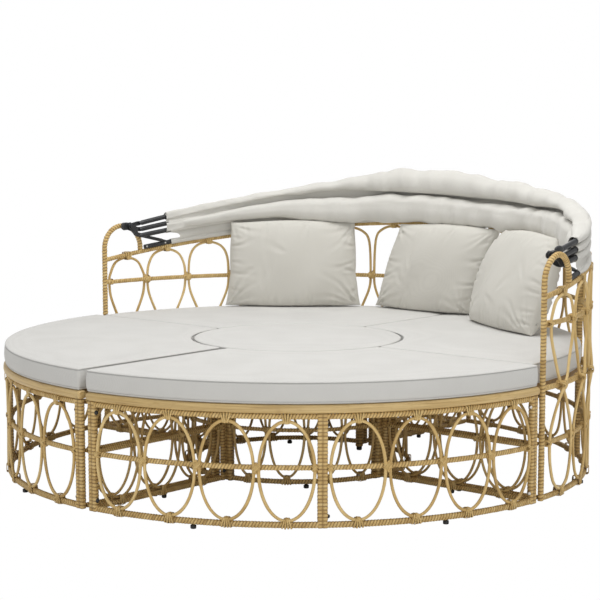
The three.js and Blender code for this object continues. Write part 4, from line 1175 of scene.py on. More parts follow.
def pillow_mesh(name, w, h, t, seed):
    """Two sheets of cloth sewn together at the edge and filled: full middle, gathered corners, puckered seam."""
    nx, ny = 132, 92
    U, V = np.meshgrid(np.sin(np.linspace(-1, 1, nx) * math.pi / 2), np.sin(np.linspace(-1, 1, ny) * math.pi / 2), indexing="ij")
    k = 0.36
    X, Y = w / 2 * U * np.sqrt(1 - k * V * V / 2), h / 2 * V * np.sqrt(1 - k * U * U / 2)
    # the four corners are drawn out a little by the seam
    X, Y = X * (1 + 0.045 * (U * V) ** 6), Y * (1 + 0.055 * (U * V) ** 6)
    full = np.clip((1 - U * U) * (1 - V * V), 0, 1)
    body = full ** 0.37 * (1 - 0.10 * full)
    edge = np.clip(full * 14, 0, 1)
    rnd = lambda *q: float(hash01(seed * 1.37, *q))
    Z = []
    for face in (0, 1):
        z = t / 2 * body + 0.0022 * edge * (np.sin(X * 19 + seed + 2 * face) * np.sin(Y * 23 + 2 * seed) + 0.5 * np.sin(X * 37 - Y * 29 + seed))
        f = 0 * z
        for i, (cx, cy) in enumerate(((-1, -1), (1, -1), (1, 1), (-1, 1))):
            x0, y0 = cx * w / 2 * 0.93, cy * h / 2 * 0.93
            inward = math.atan2(-cy * h, -cx * w)
            for j in range(5):
                a_ = inward + (j - 2) * 0.30 + 0.16 * (rnd(i, j, face) - 0.5)
                f += crease(X, Y, x0 + 0.006 * cx * (rnd(j, i) - 0.5), y0, a_, (0.055 + 0.075 * rnd(i, j, 2, face)) * (1.25 if cy < 0 else 0.9), 0.0050 + 0.003 * rnd(i, j, 3), 0.0042 + 0.0030 * rnd(i, j, 4, face))
        for i in range(9):
            x0 = w / 2 * (-0.86 + 1.72 * (i + 0.7 * rnd(i, 5, face)) / 9)
            for cy in (-1, 1):
                if rnd(i, cy, 6, face) > (0.15 if cy < 0 else 0.35):
                    f += crease(X, Y, x0, cy * h / 2 * 0.985, -cy * (math.pi / 2 + 0.7 * (rnd(i, cy, 7, face) - 0.5)), 0.030 + 0.055 * rnd(i, cy, 8, face), 0.0060, 0.0018 + 0.0030 * rnd(i, cy, 9, face))
        for i in range(6):
            y0 = h / 2 * (-0.84 + 1.68 * (i + 0.7 * rnd(i, 15, face)) / 6)
            for cx in (-1, 1):
                f += crease(X, Y, cx * w / 2 * 0.985, y0, (math.pi if cx > 0 else 0) + 0.75 * (rnd(i, cx, 17, face) - 0.5), 0.035 + 0.075 * rnd(i, cx, 18, face), 0.0058, 0.0022 + 0.0034 * rnd(i, cx, 19, face))
        for i in range(4):
            f += crease(X, Y, w * (rnd(i, 31, face) - 0.5) * 0.7, h * (rnd(i, 32, face) - 0.5) * 0.55, TAU * rnd(i, 33, face), 0.10, 0.012, 0.0022)
        Z.append(z + f * edge)
    front = np.stack([X, Y, Z[0]], -1).reshape(-1, 3)
    back = np.stack([X, Y, -Z[1]], -1).reshape(-1, 3)
    idx = np.arange(nx * ny).reshape(nx, ny)
    border = np.zeros((nx, ny), bool)
    border[0, :] = border[-1, :] = border[:, 0] = border[:, -1] = True
    # the sewn edge wanders and puckers
    wav = 0.0016 * (np.sin(X * 130 + seed) + np.sin(Y * 150 + 2 * seed) + np.sin(X * 67 - Y * 83))
    front[:, 2] += (wav * border).ravel()
    inner = ~border.ravel()
    bidx = np.full(nx * ny, -1)
    bidx[inner] = nx * ny + np.arange(inner.sum())
    bidx[~inner] = np.arange(nx * ny)[~inner]
    co = np.concatenate([front, back[inner]])
    f = np.stack([idx[:-1, :-1], idx[1:, :-1], idx[1:, 1:], idx[:-1, 1:]], -1).reshape(-1, 4)
    mesh = bpy.data.meshes.new(name)
    mesh.from_pydata(co.tolist(), [], np.concatenate([f, bidx[f][:, ::-1]]).tolist())
    mesh.update()
    o = bpy.data.objects.new(name, mesh)
    bpy.context.scene.collection.objects.link(o)
    return o, co


def rest_against(o, co, at, face, lean, back_r, shear, widths):
    """Stands the filled cover on the seat and presses it against the backrest."""
    x, y, z = co[:, 0], co[:, 1], co[:, 2]
    h2 = co[:, 1].max()
    # stand up: y becomes height, z (thickness) becomes the facing direction -Y
    P = np.stack([x, -z, y + h2], -1)
    # the filling sinks: wider and thicker low down
    k = np.clip(P[:, 2] / (2 * h2), 0, 1)
    P[:, 1] *= 1.08 - 0.18 * k
    P[:, 0] *= np.interp(k, (0, 0.1, 0.2, 0.4, 0.6, 0.8, 0.9, 1), widths)
    P[:, 0] += shear * P[:, 2]
    a = math.radians(lean)
    P = np.stack([P[:, 0], P[:, 1] * math.cos(a) + P[:, 2] * math.sin(a), P[:, 2] * math.cos(a) - P[:, 1] * math.sin(a)], -1)
    P[:, 2] += at[2] - 0.009
    t = math.radians(face + 90)
    R = np.array([[math.cos(t), -math.sin(t)], [math.sin(t), math.cos(t)]])
    P[:, :2] = P[:, :2] @ R.T + np.array(at[:2])
    # flat where it lies on the seat
    low = P[:, 2] < at[2] + 0.012
    P[low, 2] = at[2] + 0.012 * np.exp((P[low, 2] - at[2] - 0.012) / 0.012) * 1.0
    # and where it presses on the canes of the backrest
    r = np.hypot(P[:, 0], P[:, 1])
    lim = back_r - 0.010
    over = r > lim
    rn = np.where(over, lim + 0.010 * (1 - np.exp(-(r - lim) / 0.010)), r)
    P[:, :2] *= (rn / np.maximum(r, 1e-9))[:, None]
    o.data.vertices.foreach_set("co", P.ravel())
    o.data.update()


for node, w, h, t, P, face, lean, seed, shear, widths in (
        ("left_pillow", 0.480, 0.312, 0.135, (-0.534, 0.596, 0.4055), -49.2, 2, 3, 0.0, (1.065, 1.03, 0.992, 0.924, 0.928, 0.947, 0.956, 0.963)),
        ("middle_pillow", 0.455, 0.312, 0.135, (-0.098, 0.782, 0.4055), -90, 2, 5, 0.33, (1.01, 0.965, 0.929, 0.905, 0.915, 0.931, 0.95, 0.975)),
        ("right_pillow", 0.462, 0.334, 0.135, (0.372, 0.553, 0.4055), -119.4, 19, 8, 0.03, (1.0, 1.0, 1.0, 1.0, 0.99, 0.965, 0.91, 0.80))):
    o, co = pillow_mesh(node + "_visual", w, h, t, seed)
    rest_against(o, co, P, face, lean, 0.876, shear, widths)
    o.data.materials.append(PILLOW_CLOTH)
    o.data.polygons.foreach_set("use_smooth", np.ones(len(o.data.polygons), bool))
    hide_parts(node)
    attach(o, BODY[node])

# ------------------------------------------------------------------ canopy: bows, sleeves and cloth
PH0, PH1 = 17.0, 163.0


def bow_z(key, y):
    k, drop = BOWS[key]
    return PIVOT_Z + drop + k * (y - PIVOT_Y)


def rear_z(y):
    return top_z(y) + 0.0144


def plan(ph):
    """Radius of the folded bows: a little wider beside the right-hand pivot."""
    return BOW_PLAN + 0.013 * ease(ph, 9, 20) * (1 - ease(ph, 42, 80))


def bow_point(key, ph):
    a = np.radians(ph)
    if key == "rear":
        return np.stack([REAR_BOW_R * np.cos(a), REAR_BOW_R * np.sin(a), rear_z(REAR_BOW_R * np.sin(a))], -1)
    return np.stack([plan(ph) * np.cos(a), plan(ph) * np.sin(a), bow_z(key, BOW_PLAN * np.sin(a))], -1)


def ease(x, a, b):
    t = np.clip((x - a) / (b - a), 0, 1)
    return t * t * (3 - 2 * t)


def tube_mesh(name, pts, radius, sides, mat, wob=0.0, seed=0.0, caps=True):
    """A round tube along points; 'radius' may be an array, and wob makes it uneven like cloth."""
    pts = np.asarray(pts, float)
    n = len(pts)
    T = unit(np.gradient(pts, axis=0))
    up = np.array([0, 0, 1.0])
    U = unit(np.cross(up, T))
    V = np.cross(T, U)
    t = TAU * np.arange(sides) / sides
    R = np.broadcast_to(np.asarray(radius, float), (n,))[:, None] * np.ones(sides)
    if wob:
        s = np.concatenate([[0], np.cumsum(np.linalg.norm(np.diff(pts, axis=0), axis=1))])[:, None]
        R = R * (1 + wob * (np.sin(s * 95 + 3 * t + seed) * 0.5 + 0.5 * np.sin(s * 41 - 2 * t + 2 * seed) + 0.35 * np.sin(s * 210 + 5 * t)))
    P = pts[:, None] + U[:, None] * (np.cos(t)[None, :, None] * R[..., None]) + V[:, None] * (np.sin(t)[None, :, None] * R[..., None])
    g = Geo()
    g.add(P, [grid_faces(n, sides)], (0, 0, 0), P.reshape(-1, 3), 0)
    if caps:
        a = np.arange(sides)
        for ring in (a[::-1], a + (n - 1) * sides):
            g.loops.append(ring.astype(int))
            g.sizes.append(np.array([sides]))
            g.mats.append(np.array([0]))
    o = g.make(name, [mat])
    weld(o, 1e-7)
    return o


# section curves: each row gives (phi, values...) read off the photograph's folds
U_ENV = np.array([  # phi, crest above front bow, low edge below front bow, depth
    (17, 0.0110, 0.0120, 0.018), (22, 0.0140, 0.0110, 0.030), (30, 0.0180, 0.0100, 0.044), (40, 0.0210, 0.0080, 0.054), (50, 0.0230, 0.0120, 0.060),
    (60, 0.0240, 0.0300, 0.064), (67, 0.0245, 0.0420, 0.066), (74, 0.0290, 0.0410, 0.067), (79, 0.0290, 0.0390, 0.067), (85, 0.0400, 0.0370, 0.068),
    (92, 0.0450, 0.0330, 0.069), (98, 0.0530, 0.0290, 0.069), (104, 0.0560, 0.0230, 0.067), (110, 0.0480, 0.0170, 0.062), (118, 0.0370, 0.0060, 0.053),
    (126, 0.0270, 0.0020, 0.041), (135, 0.0200, 0.0020, 0.029), (144, 0.0170, 0.0060, 0.020), (153, 0.0160, 0.0090, 0.015), (163, 0.0125, 0.0110, 0.0115)])
L_ENV = np.array([  # phi, top above second bow, low edge below third bow, depth
    (17, 0.0060, 0.0150, 0.022), (22, 0.0120, 0.0300, 0.040), (30, 0.0180, 0.0480, 0.060), (40, 0.0200, 0.0600, 0.071), (50, 0.0120, 0.0560, 0.076),
    (60, 0.0000, 0.0500, 0.079), (67, -0.006, 0.0560, 0.080), (81, -0.010, 0.0640, 0.080), (90, -0.004, 0.0620, 0.080), (97, 0.0050, 0.0580, 0.080),
    (107, 0.0120, 0.0520, 0.079), (112, 0.0040, 0.0500, 0.078), (120, 0.0080, 0.0470, 0.073), (127, 0.0140, 0.0380, 0.064), (133, 0.0150, 0.0200, 0.052),
    (138, 0.0150, 0.0070, 0.042), (146, 0.0090, 0.0020, 0.034), (155, 0.0040, 0.0000, 0.031), (160, 0.0030, 0.0000, 0.030), (163, 0.0030, 0.0000, 0.030)])


def env(table, ph, col):
    x = table[:, 0]
    y = table[:, col]
    v = np.interp(ph, x, y)
    fine = np.linspace(-3, 3, 13)
    w = np.exp(-(fine / 2.0) ** 2)
    return sum(np.interp(ph + f, x, y) * k for f, k in zip(fine, w)) / w.sum() if True else v


def catmull(ctrl, per):
    """ctrl: (columns, points, 2) -> smooth curves (columns, rows, 2), open ended."""
    c = np.concatenate([2 * ctrl[:, :1] - ctrl[:, 1:2], ctrl, 2 * ctrl[:, -1:] - ctrl[:, -2:-1]], axis=1)
    out = []
    for k in range(1, c.shape[1] - 2):
        for s in np.arange(per) / per:
            p0, p1, p2, p3 = c[:, k - 1], c[:, k], c[:, k + 1], c[:, k + 2]
            out.append(0.5 * (2 * p1 + (p2 - p0) * s + (2 * p0 - 5 * p1 + 4 * p2 - p3) * s * s + (3 * p1 - p0 - 3 * p2 + p3) * s ** 3))
    out.append(c[:, -2])
    return np.stack(out, 1)


def resample(C, f_of, lo, hi, rows, dense=5.0):
    """Rows spread evenly along each curve, closer together where the cloth turns between two bows."""
    n, m, _ = C.shape
    out = np.zeros((n, rows, 2))
    tt = np.zeros((n, rows))
    for i in range(n):
        seg = np.linalg.norm(np.diff(C[i], axis=0), axis=1)
        f = f_of(i, C[i])
        mid = (f[1:] + f[:-1]) / 2
        wgt = seg * (1 + dense * ((mid > lo - 0.002) & (mid < hi + 0.002)))
        k = np.ones(5) / 5
        wgt = np.convolve(np.pad(wgt, 2, mode="edge"), k, "valid")
        s = np.concatenate([[0], np.cumsum(wgt)])
        s /= s[-1]
        t = np.linspace(0, 1, rows)
        j = np.interp(t, s, np.arange(m))
        for c in (0, 1):
            out[i, :, c] = np.interp(j, np.arange(m), C[i, :, c])
        tt[i] = j / (m - 1)
    # keep neighbouring columns in step
    ker = np.exp(-(np.arange(-3, 4) / 2.0) ** 2)
    ker /= ker.sum()
    pad = np.pad(out, ((3, 3), (0, 0), (0, 0)), mode="edge")
    out = sum(pad[k:k + n] * ker[k] for k in range(7))
    return out, tt


def in_step(P, calm, k, f0, f1):
    """Where the cloth turns from one bow to the next, its height above the bow's plane follows the calm, unwrinkled cloth, and only rises or only falls along each column."""
    level = lambda q: q[..., 2] - k * (q[..., 1] - PIVOT_Y)
    f, s = level(P), level(calm)
    if s[:, 0].mean() > s[:, -1].mean():
        return in_step(P[:, ::-1], calm[:, ::-1], k, f0, f1)[:, ::-1]
    c = np.clip(s, f0 - 0.001, f1 + 0.001)
    g = 0.5 * (np.maximum.accumulate(c, axis=1) + np.minimum.accumulate(c[:, ::-1], axis=1)[:, ::-1])
    target = s + g - c
    out_by = np.maximum(f0 - target, target - f1)
    near = 1 - ease(out_by, 0.0005, 0.0070)
    out = P.copy()
    out[..., 2] += near * (target - f)
    return out


def sheet_mesh(name, ph, sec, tt, wrinkle, mat, scoop=None, band=None):
    """sec: (columns, rows, 2) of (depth inward, height); 'scoop' cuts the left edge back, in degrees for each row."""
    a = np.radians(ph)[:, None] + 0 * sec[..., 0]
    if scoop is not None:
        a = a - np.radians(scoop)[None, :] * ease(ph, 140, 163)[:, None]
    r = plan(ph)[:, None] - sec[..., 0]
    P = np.stack([r * np.cos(a), r * np.sin(a), sec[..., 1] + 0 * a], -1)
    du = np.gradient(P, axis=0)
    dv = np.gradient(P, axis=1)
    N = unit(np.cross(du, dv))
    calm = P
    P = P + N * wrinkle[..., None]
    if band:
        P = in_step(P, calm, *band)
    n, m = P.shape[:2]
    g = Geo()
    g.add(P, [grid_faces(n, m, wrap_m=False)], (0, 0, 0), P.reshape(-1, 3), 0)
    o = g.make(name, [mat])
    return o


COLS = 260
PH = np.linspace(PH0, PH1, COLS)


def folds(ph, tt, amp, seed, left_fade=0.45):
    """Soft pulls and folds that lean across the roll."""
    p = ph[:, None]
    body = np.sin(np.pi * np.clip(tt, 0, 1)) ** 0.8
    big = np.sin(TAU * (p / 11.5 + 0.45 * tt) + seed) + 0.7 * np.sin(TAU * (p / 7.1 - 0.75 * tt) + 2.1 * seed)
    small = 0.5 * np.sin(TAU * (p / 4.3 + 1.1 * tt) + 0.7 * seed) + 0.3 * np.sin(TAU * (p / 2.6 - 1.6 * tt) + 1.9 * seed)
    long_ = 0.8 * np.sin(TAU * (2.3 * tt + 0.012 * p) + seed) * np.clip((p - 112) / 25, 0, 1)
    mask = 0.55 + 0.45 * np.sin(TAU * p / 37 + 1.3 * seed)
    fade = np.where(p > 118, 1 - (1 - left_fade) * np.clip((p - 118) / 15, 0, 1), 1.0) * np.clip((p - PH0) / 12, 0.15, 1)
    slow = np.sin(TAU * (p / 17.5 + 0.30 * tt) + 1.4 * seed) + 0.6 * np.sin(TAU * (p / 23.0 - 0.35 * tt) + 0.6 * seed)
    return amp * body * fade * (slow * 0.55 + big * 0.6 + small * mask * 0.45 + long_ * 0.6)


def upper_section():
    y = BOW_PLAN * np.sin(np.radians(PH))
    zf, zs = bow_z("front", y), bow_z("second", y)
    hi, lo, D = zf + env(U_ENV, PH, 1), zf - env(U_ENV, PH, 2), env(U_ENV, PH, 3)
    lo = np.maximum(lo, zs + 0.004)
    H = hi - lo
    c = lambda u, z: np.stack([u + 0 * D, z], -1)
    ctrl = np.stack([c(0.0065, zs + 0.0035), c(0.30 * D + 0.004, np.maximum(lo + 0.002, zs + 0.007)), c(0.66 * D, lo), c(0.93 * D, lo + 0.16 * H), c(1.0 * D, lo + 0.42 * H),
                     c(0.92 * D, lo + 0.70 * H), c(0.70 * D, lo + 0.90 * H), c(0.42 * D, hi), c(0.16 * D, hi - 0.03 * H), c(-0.006 + 0 * D, zf + np.minimum(0.013, 0.5 * (hi - zf) + 0.004)), c(-0.0100 + 0 * D, zf + 0.001)], 1)
    C = catmull(ctrl, 10)
    f_of = lambda i, q: q[:, 1] - 0.1715 * ((BOW_PLAN - q[:, 0]) * math.sin(math.radians(PH[i])) - PIVOT_Y)
    return resample(C, f_of, 0.683, 0.7005, 84)


def lower_section():
    y = BOW_PLAN * np.sin(np.radians(PH))
    zs, zt = bow_z("second", y), bow_z("third", y)
    hi, lo, D = zs + env(L_ENV, PH, 1), zt - env(L_ENV, PH, 2), env(L_ENV, PH, 3)
    # past the open end of the roll only a gathered band runs on along the bows
    w = ease(PH, 156.6, 157.8)
    hi, lo, D = hi + (zs + 0.002 - hi) * w, lo + (zt - 0.003 - lo) * w, D + (0.0115 - D) * w
    H = hi - lo
    c = lambda u, z: np.stack([u + 0 * D, z], -1)
    ctrl = np.stack([c(0.0085, zs - 0.0015), c(0.28 * D + 0.004, hi - 0.03 * H), c(0.62 * D, hi - 0.01 * H), c(0.92 * D, hi - 0.16 * H), c(1.0 * D, lo + 0.58 * H), c(1.0 * D, lo + 0.34 * H),
                     c(0.88 * D, lo + 0.11 * H), c(0.62 * D, lo), c(0.34 * D, lo + 0.03 * H), c(0.14 * D, lo + 0.22 * (zt - lo) + 0.002), c(0.0035 + 0 * D, zt - 0.0100)], 1)
    C = catmull(ctrl, 10)
    f_of = lambda i, q: q[:, 1] - 0.149 * ((BOW_PLAN - q[:, 0]) * math.sin(math.radians(PH[i])) - PIVOT_Y)
    return resample(C, f_of, 0.660, 0.679, 84)


def rear_section_cloth():
    y = BOW_PLAN * np.sin(np.radians(PH))
    zt, zr = bow_z("third", y), rear_z(REAR_BOW_R * np.sin(np.radians(PH)))
    c = lambda u, z: np.stack([u + 0 * y, z], -1)
    ctrl = np.stack([c(-0.0060, zt - 0.0080), c(-0.0035, zt * 0.72 + zr * 0.28), c(-0.0040, zt * 0.45 + zr * 0.55), c(-0.0090, zt * 0.2 + zr * 0.8 + 0.002), c(-0.0135, zr + 0.0085)], 1)
    C = catmull(ctrl, 12)
    n, m, _ = C.shape
    return C, np.linspace(0, 1, m)[None, :] * np.ones((n, 1))


for key, body, node in (("front", "front_bow", "canopy_front_bow"), ("second", "second_bow", "canopy_second_bow"), ("third", "third_bow", "canopy_third_bow"), ("rear", None, "canopy_rear_bow")):
    ph = np.linspace(PH0, PH1 - dict(front=0, second=0.6, third=1.1, rear=1.9)[key], 220)
    body = body or BODY[node]
    # the sleeves hang loose and wide at the right-hand end
    loose = (0.0035 if key != "rear" else 0.002) * (1 - ease(ph, 26, 66)) * ease(ph, 16.5, 24)
    rr = 0.0100 + 0.0006 * np.sin(np.radians(ph) * 23 + len(key)) + loose
    mid = bow_point(key, ph)
    mid[:, :2] *= (1 + loose * 0.95 / BOW_PLAN)[:, None]
    mid[:, 2] -= loose * 0.4
    o = tube_mesh(f"canopy_{key}_sleeve", mid, rr, 20, CANOPY_CLOTH, wob=0.04, seed=len(key) * 1.7, caps=False)
    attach(o, body)
    DONE[f"{key}_sleeve"] = o

sec, tt = upper_section()
upper = sheet_mesh("canopy_upper_roll", PH, sec, tt, folds(PH, tt, 0.0056, 1.7), CANOPY_CLOTH, band=(0.1715, 0.683, 0.7005))
sec, tt = lower_section()
lower = sheet_mesh("canopy_lower_roll", PH, sec, tt, folds(PH, tt, 0.0056, 4.1), CANOPY_CLOTH, band=(0.149, 0.660, 0.679))
sec, tt = rear_section_cloth()
v = np.linspace(0, 1, sec.shape[1])
strip_ = sheet_mesh("canopy_rear_strip", PH, sec, tt, folds(PH, tt, 0.0010, 2.9, 0.9), CANOPY_CLOTH, 1.1 + 0.9 * v + 2.4 * np.sin(np.pi * v ** 0.8))


def pull(k, f0, f1):
    """Two points whose joining line measures z - k*(y - pivot) from f0 to f1."""
    n = np.array([0, -k, 1.0])
    s = np.array([0, PIVOT_Y, f0])
    return tuple(s), tuple(s + n * (f1 - f0) / (n @ n))


for o, a, b, k, f0, f1, node, slot in ((upper, "second_bow", "front_bow", 0.1715, 0.683, 0.7005, "canopy_front_fabric", "canopy"),
                                       (lower, "third_bow", "second_bow", 0.149, 0.660, 0.679, "canopy_middle_fabric", "canopy"),
                                       (strip_, BODY["canopy_rear_bow"], "third_bow", 0.1385, 0.6225, 0.6495, "canopy_rear_fabric", "canopy")):
    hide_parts(node)
    start, end = pull(k, f0, f1)
    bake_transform(o)
    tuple(start)
    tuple(end)
    area = sum(p.area for p in o.data.polygons)
    print("sheet", o.name, "area", round(area, 4), "width at the bow", round(BOW_PLAN * math.radians(PH1 - PH0), 3))


def plate(g, poly, x0, x1, mat=0, bev=0.0006):
    """A flat shape in the y, z plane from x0 to x1 with broken edges."""
    P = np.array(poly, float)
    area = 0.5 * np.sum(P[:, 0] * np.roll(P[:, 1], -1) - np.roll(P[:, 0], -1) * P[:, 1])
    if area < 0:
        P = P[::-1]
    e0, e1 = unit(P - np.roll(P, 1, 0)), unit(np.roll(P, -1, 0) - P)
    n0, n1 = np.stack([e0[:, 1], -e0[:, 0]], -1), np.stack([e1[:, 1], -e1[:, 0]], -1)
    m = unit(n0 + n1)
    m = m / np.maximum(np.einsum("ij,ij->i", m, n0), 0.4)[:, None]
    rings = [(x0, -bev), (x0 + bev, 0), (x1 - bev, 0), (x1, -bev)]
    V = np.array([np.column_stack([np.full(len(P), x), P + m * d]) for x, d in rings])
    n, k = V.shape[:2]
    base = g.n
    g.add(V, [grid_faces(n, k)], (0.5, 0, 0.5), V.reshape(-1, 3), mat)
    idx = np.arange(k)
    for ring in (idx[::-1], idx + (n - 1) * k):
        g.loops.append((ring + base).astype(int))
        g.sizes.append(np.array([k]))
        g.mats.append(np.array([mat]))


def bar_poly(pts, half, start_round=False):
    """Outline of a flat bar of half width 'half' along points (y, z)."""
    P = np.array(pts, float)
    T = unit(np.gradient(P, axis=0))
    N = np.stack([-T[:, 1], T[:, 0]], -1)
    a = P + N * np.asarray(half)[..., None] if np.ndim(half) else P + N * half
    b = P - N * np.asarray(half)[..., None] if np.ndim(half) else P - N * half
    t0 = -T[0]
    h0 = half[0] if np.ndim(half) else half
    cap = [P[0] + h0 * (math.cos(q) * -N[0] + math.sin(q) * t0) for q in np.linspace(0, math.pi, 9)[1:-1]]
    return np.concatenate([a, b[::-1], np.array(cap)])


def solid_tube(name, pts, radius, mat, sides=16):
    o = tube_mesh(name, pts, radius, sides, mat)
    return o


def join(name, objs):
    """One piece out of several meshes with the same transform."""
    bm = bmesh.new()
    mats = []
    for ob in objs:
        m = ob.data
        back = {}
        for i, x in enumerate(m.materials):
            if x not in mats:
                mats.append(x)
            back[i] = mats.index(x)
        n0 = len(bm.faces)
        bm.from_mesh(m)
        bm.faces.ensure_lookup_table()
        for f in bm.faces[n0:]:
            f.material_index = back.get(f.material_index, 0)
    out = bpy.data.meshes.new(name)
    bm.to_mesh(out)
    bm.free()
    for x in mats:
        out.materials.append(x)
    for ob in objs:
        d = ob.data
        bpy.data.objects.remove(ob)
        bpy.data.meshes.remove(d)
    o = bpy.data.objects.new(name, out)
    bpy.context.scene.collection.objects.link(o)
    out.polygons.foreach_set("use_smooth", np.ones(len(out.polygons), bool))
    return o


def sharp(o, angle=0.6):
    """Keeps the broken edges of plates crisp."""
    bm = bmesh.new()
    bm.from_mesh(o.data)
    for e in bm.edges:
        e.smooth = not (len(e.link_faces) == 2 and e.calc_face_angle(0) > angle)
    bm.to_mesh(o.data)
    bm.free()


for key, node in (("front", "canopy_front_bow"), ("second", "canopy_second_bow"), ("third", "canopy_third_bow")):
    a0 = math.degrees(math.asin(0.151 / BOW_PLAN))
    ph = np.linspace(a0, 180 - a0, 240)
    rad = 0.0081 * (0.62 + 0.38 * ease(np.minimum(ph - a0, 180 - a0 - ph), 0, 0.7))
    parts = [tube_mesh("tube", bow_point(key, ph), rad, 20, BLACK)]
    x, z1 = EYE[key], bow_z(key, 0.151)
    for sx in (1, -1):
        g = Geo()
        if key == "third":
            pts = [(0.1095, 0.7000), (0.113, 0.6960), (0.120, 0.6850), (0.129, 0.6745), (0.142, 0.6695), (0.158, z1 + 0.001)]
        elif key == "second":
            pts = [(0.1100, 0.7000), (0.120, 0.6965), (0.132, 0.6900), (0.145, z1 + 0.0010), (0.158, z1 + 0.001)]
        else:
            pts = [(0.0800, 0.6985), (0.0950, 0.6995), (0.1100, 0.7005), (0.120, 0.7020), (0.132, 0.7040), (0.145, z1 - 0.0010), (0.158, z1)]
        plate(g, bar_poly(pts, np.linspace(0.0092, 0.0074, len(pts))), sx * x - 0.0015, sx * x + 0.0015)
        parts.append(g.make("arm", [BLACK]))
    o = join(node + "_visual", parts)
    sharp(o)
    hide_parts(node)
    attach(o, BODY[node])
    DONE[node] = o
a0 = math.degrees(math.asin(0.186 / REAR_BOW_R))
ph = np.linspace(a0, 180 - a0, 240)
parts = [tube_mesh("tube", bow_point("rear", ph), 0.0078, 20, BLACK)]
for a in (ph[0] + 0.35, ph[0] + 5.2, 180 - ph[0] - 0.35, 180 - ph[0] - 5.2):
    g = Geo()
    P = bow_point("rear", a)
    turned(g, P + np.array([-0.0066 * math.cos(math.radians(a)), -0.0066 * math.sin(math.radians(a)), 0.001]), (-math.cos(math.radians(a)), -math.sin(math.radians(a)), 0.15), [(0, 0.0034), (0.0012, 0.0034), (0.0020, 0.0020)], 12, 0)
    parts.append(g.make("screw", [ZINC]))
o = join("canopy_rear_bow_visual", parts)
sharp(o)
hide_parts("canopy_rear_bow")
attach(o, BODY["canopy_rear_bow"])
DONE["canopy_rear_bow"] = o

for side, sx in (("left", -1), ("right", 1)):
    node = f"{side}_canopy_bracket"
    g = Geo()
    outline = [(0.0765, 0.6915), (0.0760, 0.7010), (0.0840, 0.7065), (0.0980, 0.7105), (0.1180, 0.7125), (0.1310, 0.7050), (0.1410, 0.6935), (0.1530, 0.6760), (0.1520, 0.6640), (0.1410, 0.6635), (0.1250, 0.6800), (0.1040, 0.6870), (0.0860, 0.6865)]
    lo_, hi_ = sorted((sx * 0.8572, sx * 0.8600))
    plate(g, outline, lo_, hi_)
    lo_, hi_ = sorted((sx * 0.8600, sx * 0.8700))
    plate(g, [(0.084, 0.6960), (0.084, 0.7080), (0.092, 0.7120), (0.108, 0.7120), (0.114, 0.7080), (0.112, 0.6975)], lo_, hi_)
    parts = [g.make("plate", [BLACK])]
    if side == "right":
        # rounded cover over the pivot, which shows above the arch
        g = Geo()
        q = np.linspace(0, TAU, 29)[:-1]
        rings = []
        for w in np.linspace(-1, 1, 13)[1:-1]:
            k_ = math.sqrt(1 - w * w)
            rings.append(np.column_stack([np.full(len(q), 0.8635 + 0.0075 * w), 0.1240 + 0.0215 * k_ * np.cos(q), 0.7125 + 0.0110 * k_ * np.sin(q)]))
        V = np.array(rings)
        g.add(V, [grid_faces(V.shape[0], V.shape[1])], (0.5, 0, 0.5), V.reshape(-1, 3), 0)
        n_, k2 = V.shape[:2]
        for ring in (np.arange(k2)[::-1], np.arange(k2) + (n_ - 1) * k2):
            g.loops.append(ring.astype(int))
            g.sizes.append(np.array([k2]))
            g.mats.append(np.array([0]))
        cover = g.make("cover", [BLACK])
        weld(cover, 1e-7)
        parts.append(cover)
    g = Geo()
    turned(g, (sx * 0.8574, 0.0825, 0.6990), (-sx, 0, 0), [(0, 0.0046), (0.0012, 0.0046), (0.0024, 0.0026)], 14, 0)
    parts.append(g.make("screw", [ZINC]))
    o = join(node + "_visual", parts)
    sharp(o)
    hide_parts(node)
    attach(o, BODY[node])
    DONE[node] = o
for side, sx in (("left", -1), ("right", 1)):
    # flat-ended stay from the bracket down to the rear bow
    node = f"{side}_canopy_strut"
    y1 = 0.262
    A = np.array([sx * 0.8578, 0.1515, 0.6675])
    B = np.array([sx * (math.sqrt(REAR_BOW_R ** 2 - y1 * y1) - 0.0055), y1, rear_z(y1) + 0.0065])
    t = np.linspace(0, 1, 14)
    o = tube_mesh(node + "_visual", A + (B - A) * t[:, None], 0.0058 - 0.0014 * (np.abs(t - 0.5) > 0.42), 14, BLACK)
    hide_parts(node)
    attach(o, BODY[node])
    DONE[node] = o
for name, o in frame["nodes"].items():
    if any(k in name for k in ("bow", "bracket", "bolt", "strut", "clip")) and name not in DONE:
        o.data.materials.clear()
        o.data.materials.append(BLACK)

# ------------------------------------------------------------------ floor, light and camera
def floor():
    mesh = bpy.data.meshes.new("floor")
    s = 30.0
    mesh.from_pydata([(-s, -s, 0), (s, -s, 0), (s, s, 0), (-s, s, 0)], [], [(0, 1, 2, 3)])
    o = bpy.data.objects.new("floor", mesh)
    bpy.context.scene.collection.objects.link(o)
    k = Nodes("white_floor")
    k.b.inputs["Base Color"].default_value = (0.90, 0.90, 0.89, 1)
    k.b.inputs["Roughness"].default_value = 0.85
    k.b.inputs["Specular IOR Level"].default_value = 0.1
    # the picture shows the floor as paper white; its light on the daybed stays that of a lit white floor
    seen = k.new("ShaderNodeLightPath")
    glow = k.new("ShaderNodeEmission")
    both = k.new("ShaderNodeMixShader")
    k.link(seen.outputs["Is Camera Ray"], both.inputs[0])
    k.link(k.b.outputs[0], both.inputs[1])
    k.link(glow.outputs[0], both.inputs[2])
    out = next(n for n in k.m.node_tree.nodes if n.type == "OUTPUT_MATERIAL")
    k.link(both.outputs[0], out.inputs["Surface"])
    mesh.materials.append(k.m)
    return o


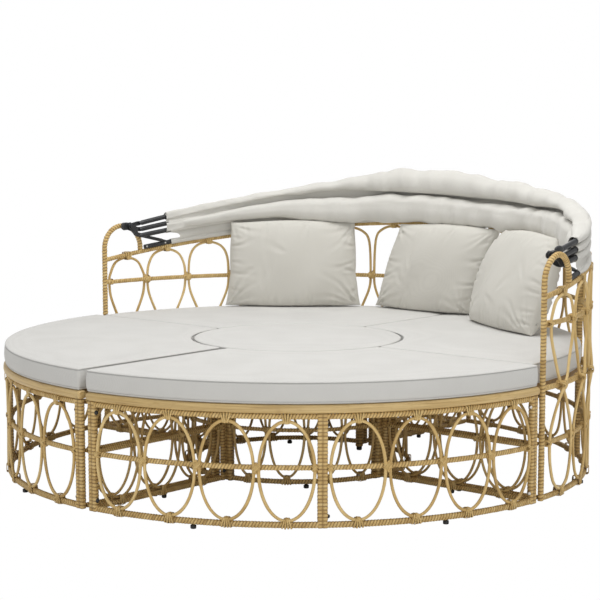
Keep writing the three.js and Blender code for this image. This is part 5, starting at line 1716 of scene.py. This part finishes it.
floor()
scene = bpy.context.scene
world = bpy.data.worlds.new("white_studio")
scene.world = world
world.use_nodes = True
sky = world.node_tree
soft = sky.nodes["Background"]
soft.inputs[0].default_value = (1.0, 1.0, 1.0, 1)
soft.inputs[1].default_value = 0.56
paper = sky.nodes.new("ShaderNodeBackground")
paper.inputs[0].default_value = (1.0, 1.0, 1.0, 1)
paper.inputs[1].default_value = 1.0
ray, blend_ = sky.nodes.new("ShaderNodeLightPath"), sky.nodes.new("ShaderNodeMixShader")
sky.links.new(ray.outputs["Is Camera Ray"], blend_.inputs[0])
sky.links.new(soft.outputs[0], blend_.inputs[1])
sky.links.new(paper.outputs[0], blend_.inputs[2])
sky.links.new(blend_.outputs[0], sky.nodes["World Output"].inputs[0])


def area_light(name, P, target, size, power, size_y=None, color=(1, 1, 1)):
    data = bpy.data.lights.new(name, "AREA")
    data.shape = "RECTANGLE"
    data.size, data.size_y = size, size_y or size
    data.energy = power
    data.color = color
    o = bpy.data.objects.new(name, data)
    scene.collection.objects.link(o)
    o.location = P
    o.rotation_euler = (Vector(target) - Vector(P)).to_track_quat("-Z", "Y").to_euler()
    return o


area_light("overhead_softbox", (0.5, -0.1, 3.6), (0, 0, 0.3), 2.2, 74)
area_light("left_softbox", (-3.6, -2.6, 2.6), (0, 0, 0.4), 2.2, 13)
area_light("right_softbox", (3.9, -2.2, 2.2), (0, 0, 0.4), 1.8, 14)
area_light("front_softbox", (2.7, -3.2, 0.75), (0, 0, 0.2), 2.0, 12, size_y=1.1)
area_light("rear_softbox", (-2.2, 4.2, 2.8), (0, 0, 0.4), 2.4, 30)

cam_data = bpy.data.cameras.new("photo_camera")
cam = bpy.data.objects.new("photo_camera", cam_data)
scene.collection.objects.link(cam)
cam.location = (3.5716, -4.1485, 1.1311)
cam.rotation_euler = (Vector((0, 0, 0.4)) - cam.location).to_track_quat("-Z", "Y").to_euler()
cam_data.sensor_width = 36
cam_data.lens = 107.03
cam_data.shift_x = 0.0042
cam_data.shift_y = 0.0625
scene.camera = cam
scene.view_settings.view_transform = "Standard"
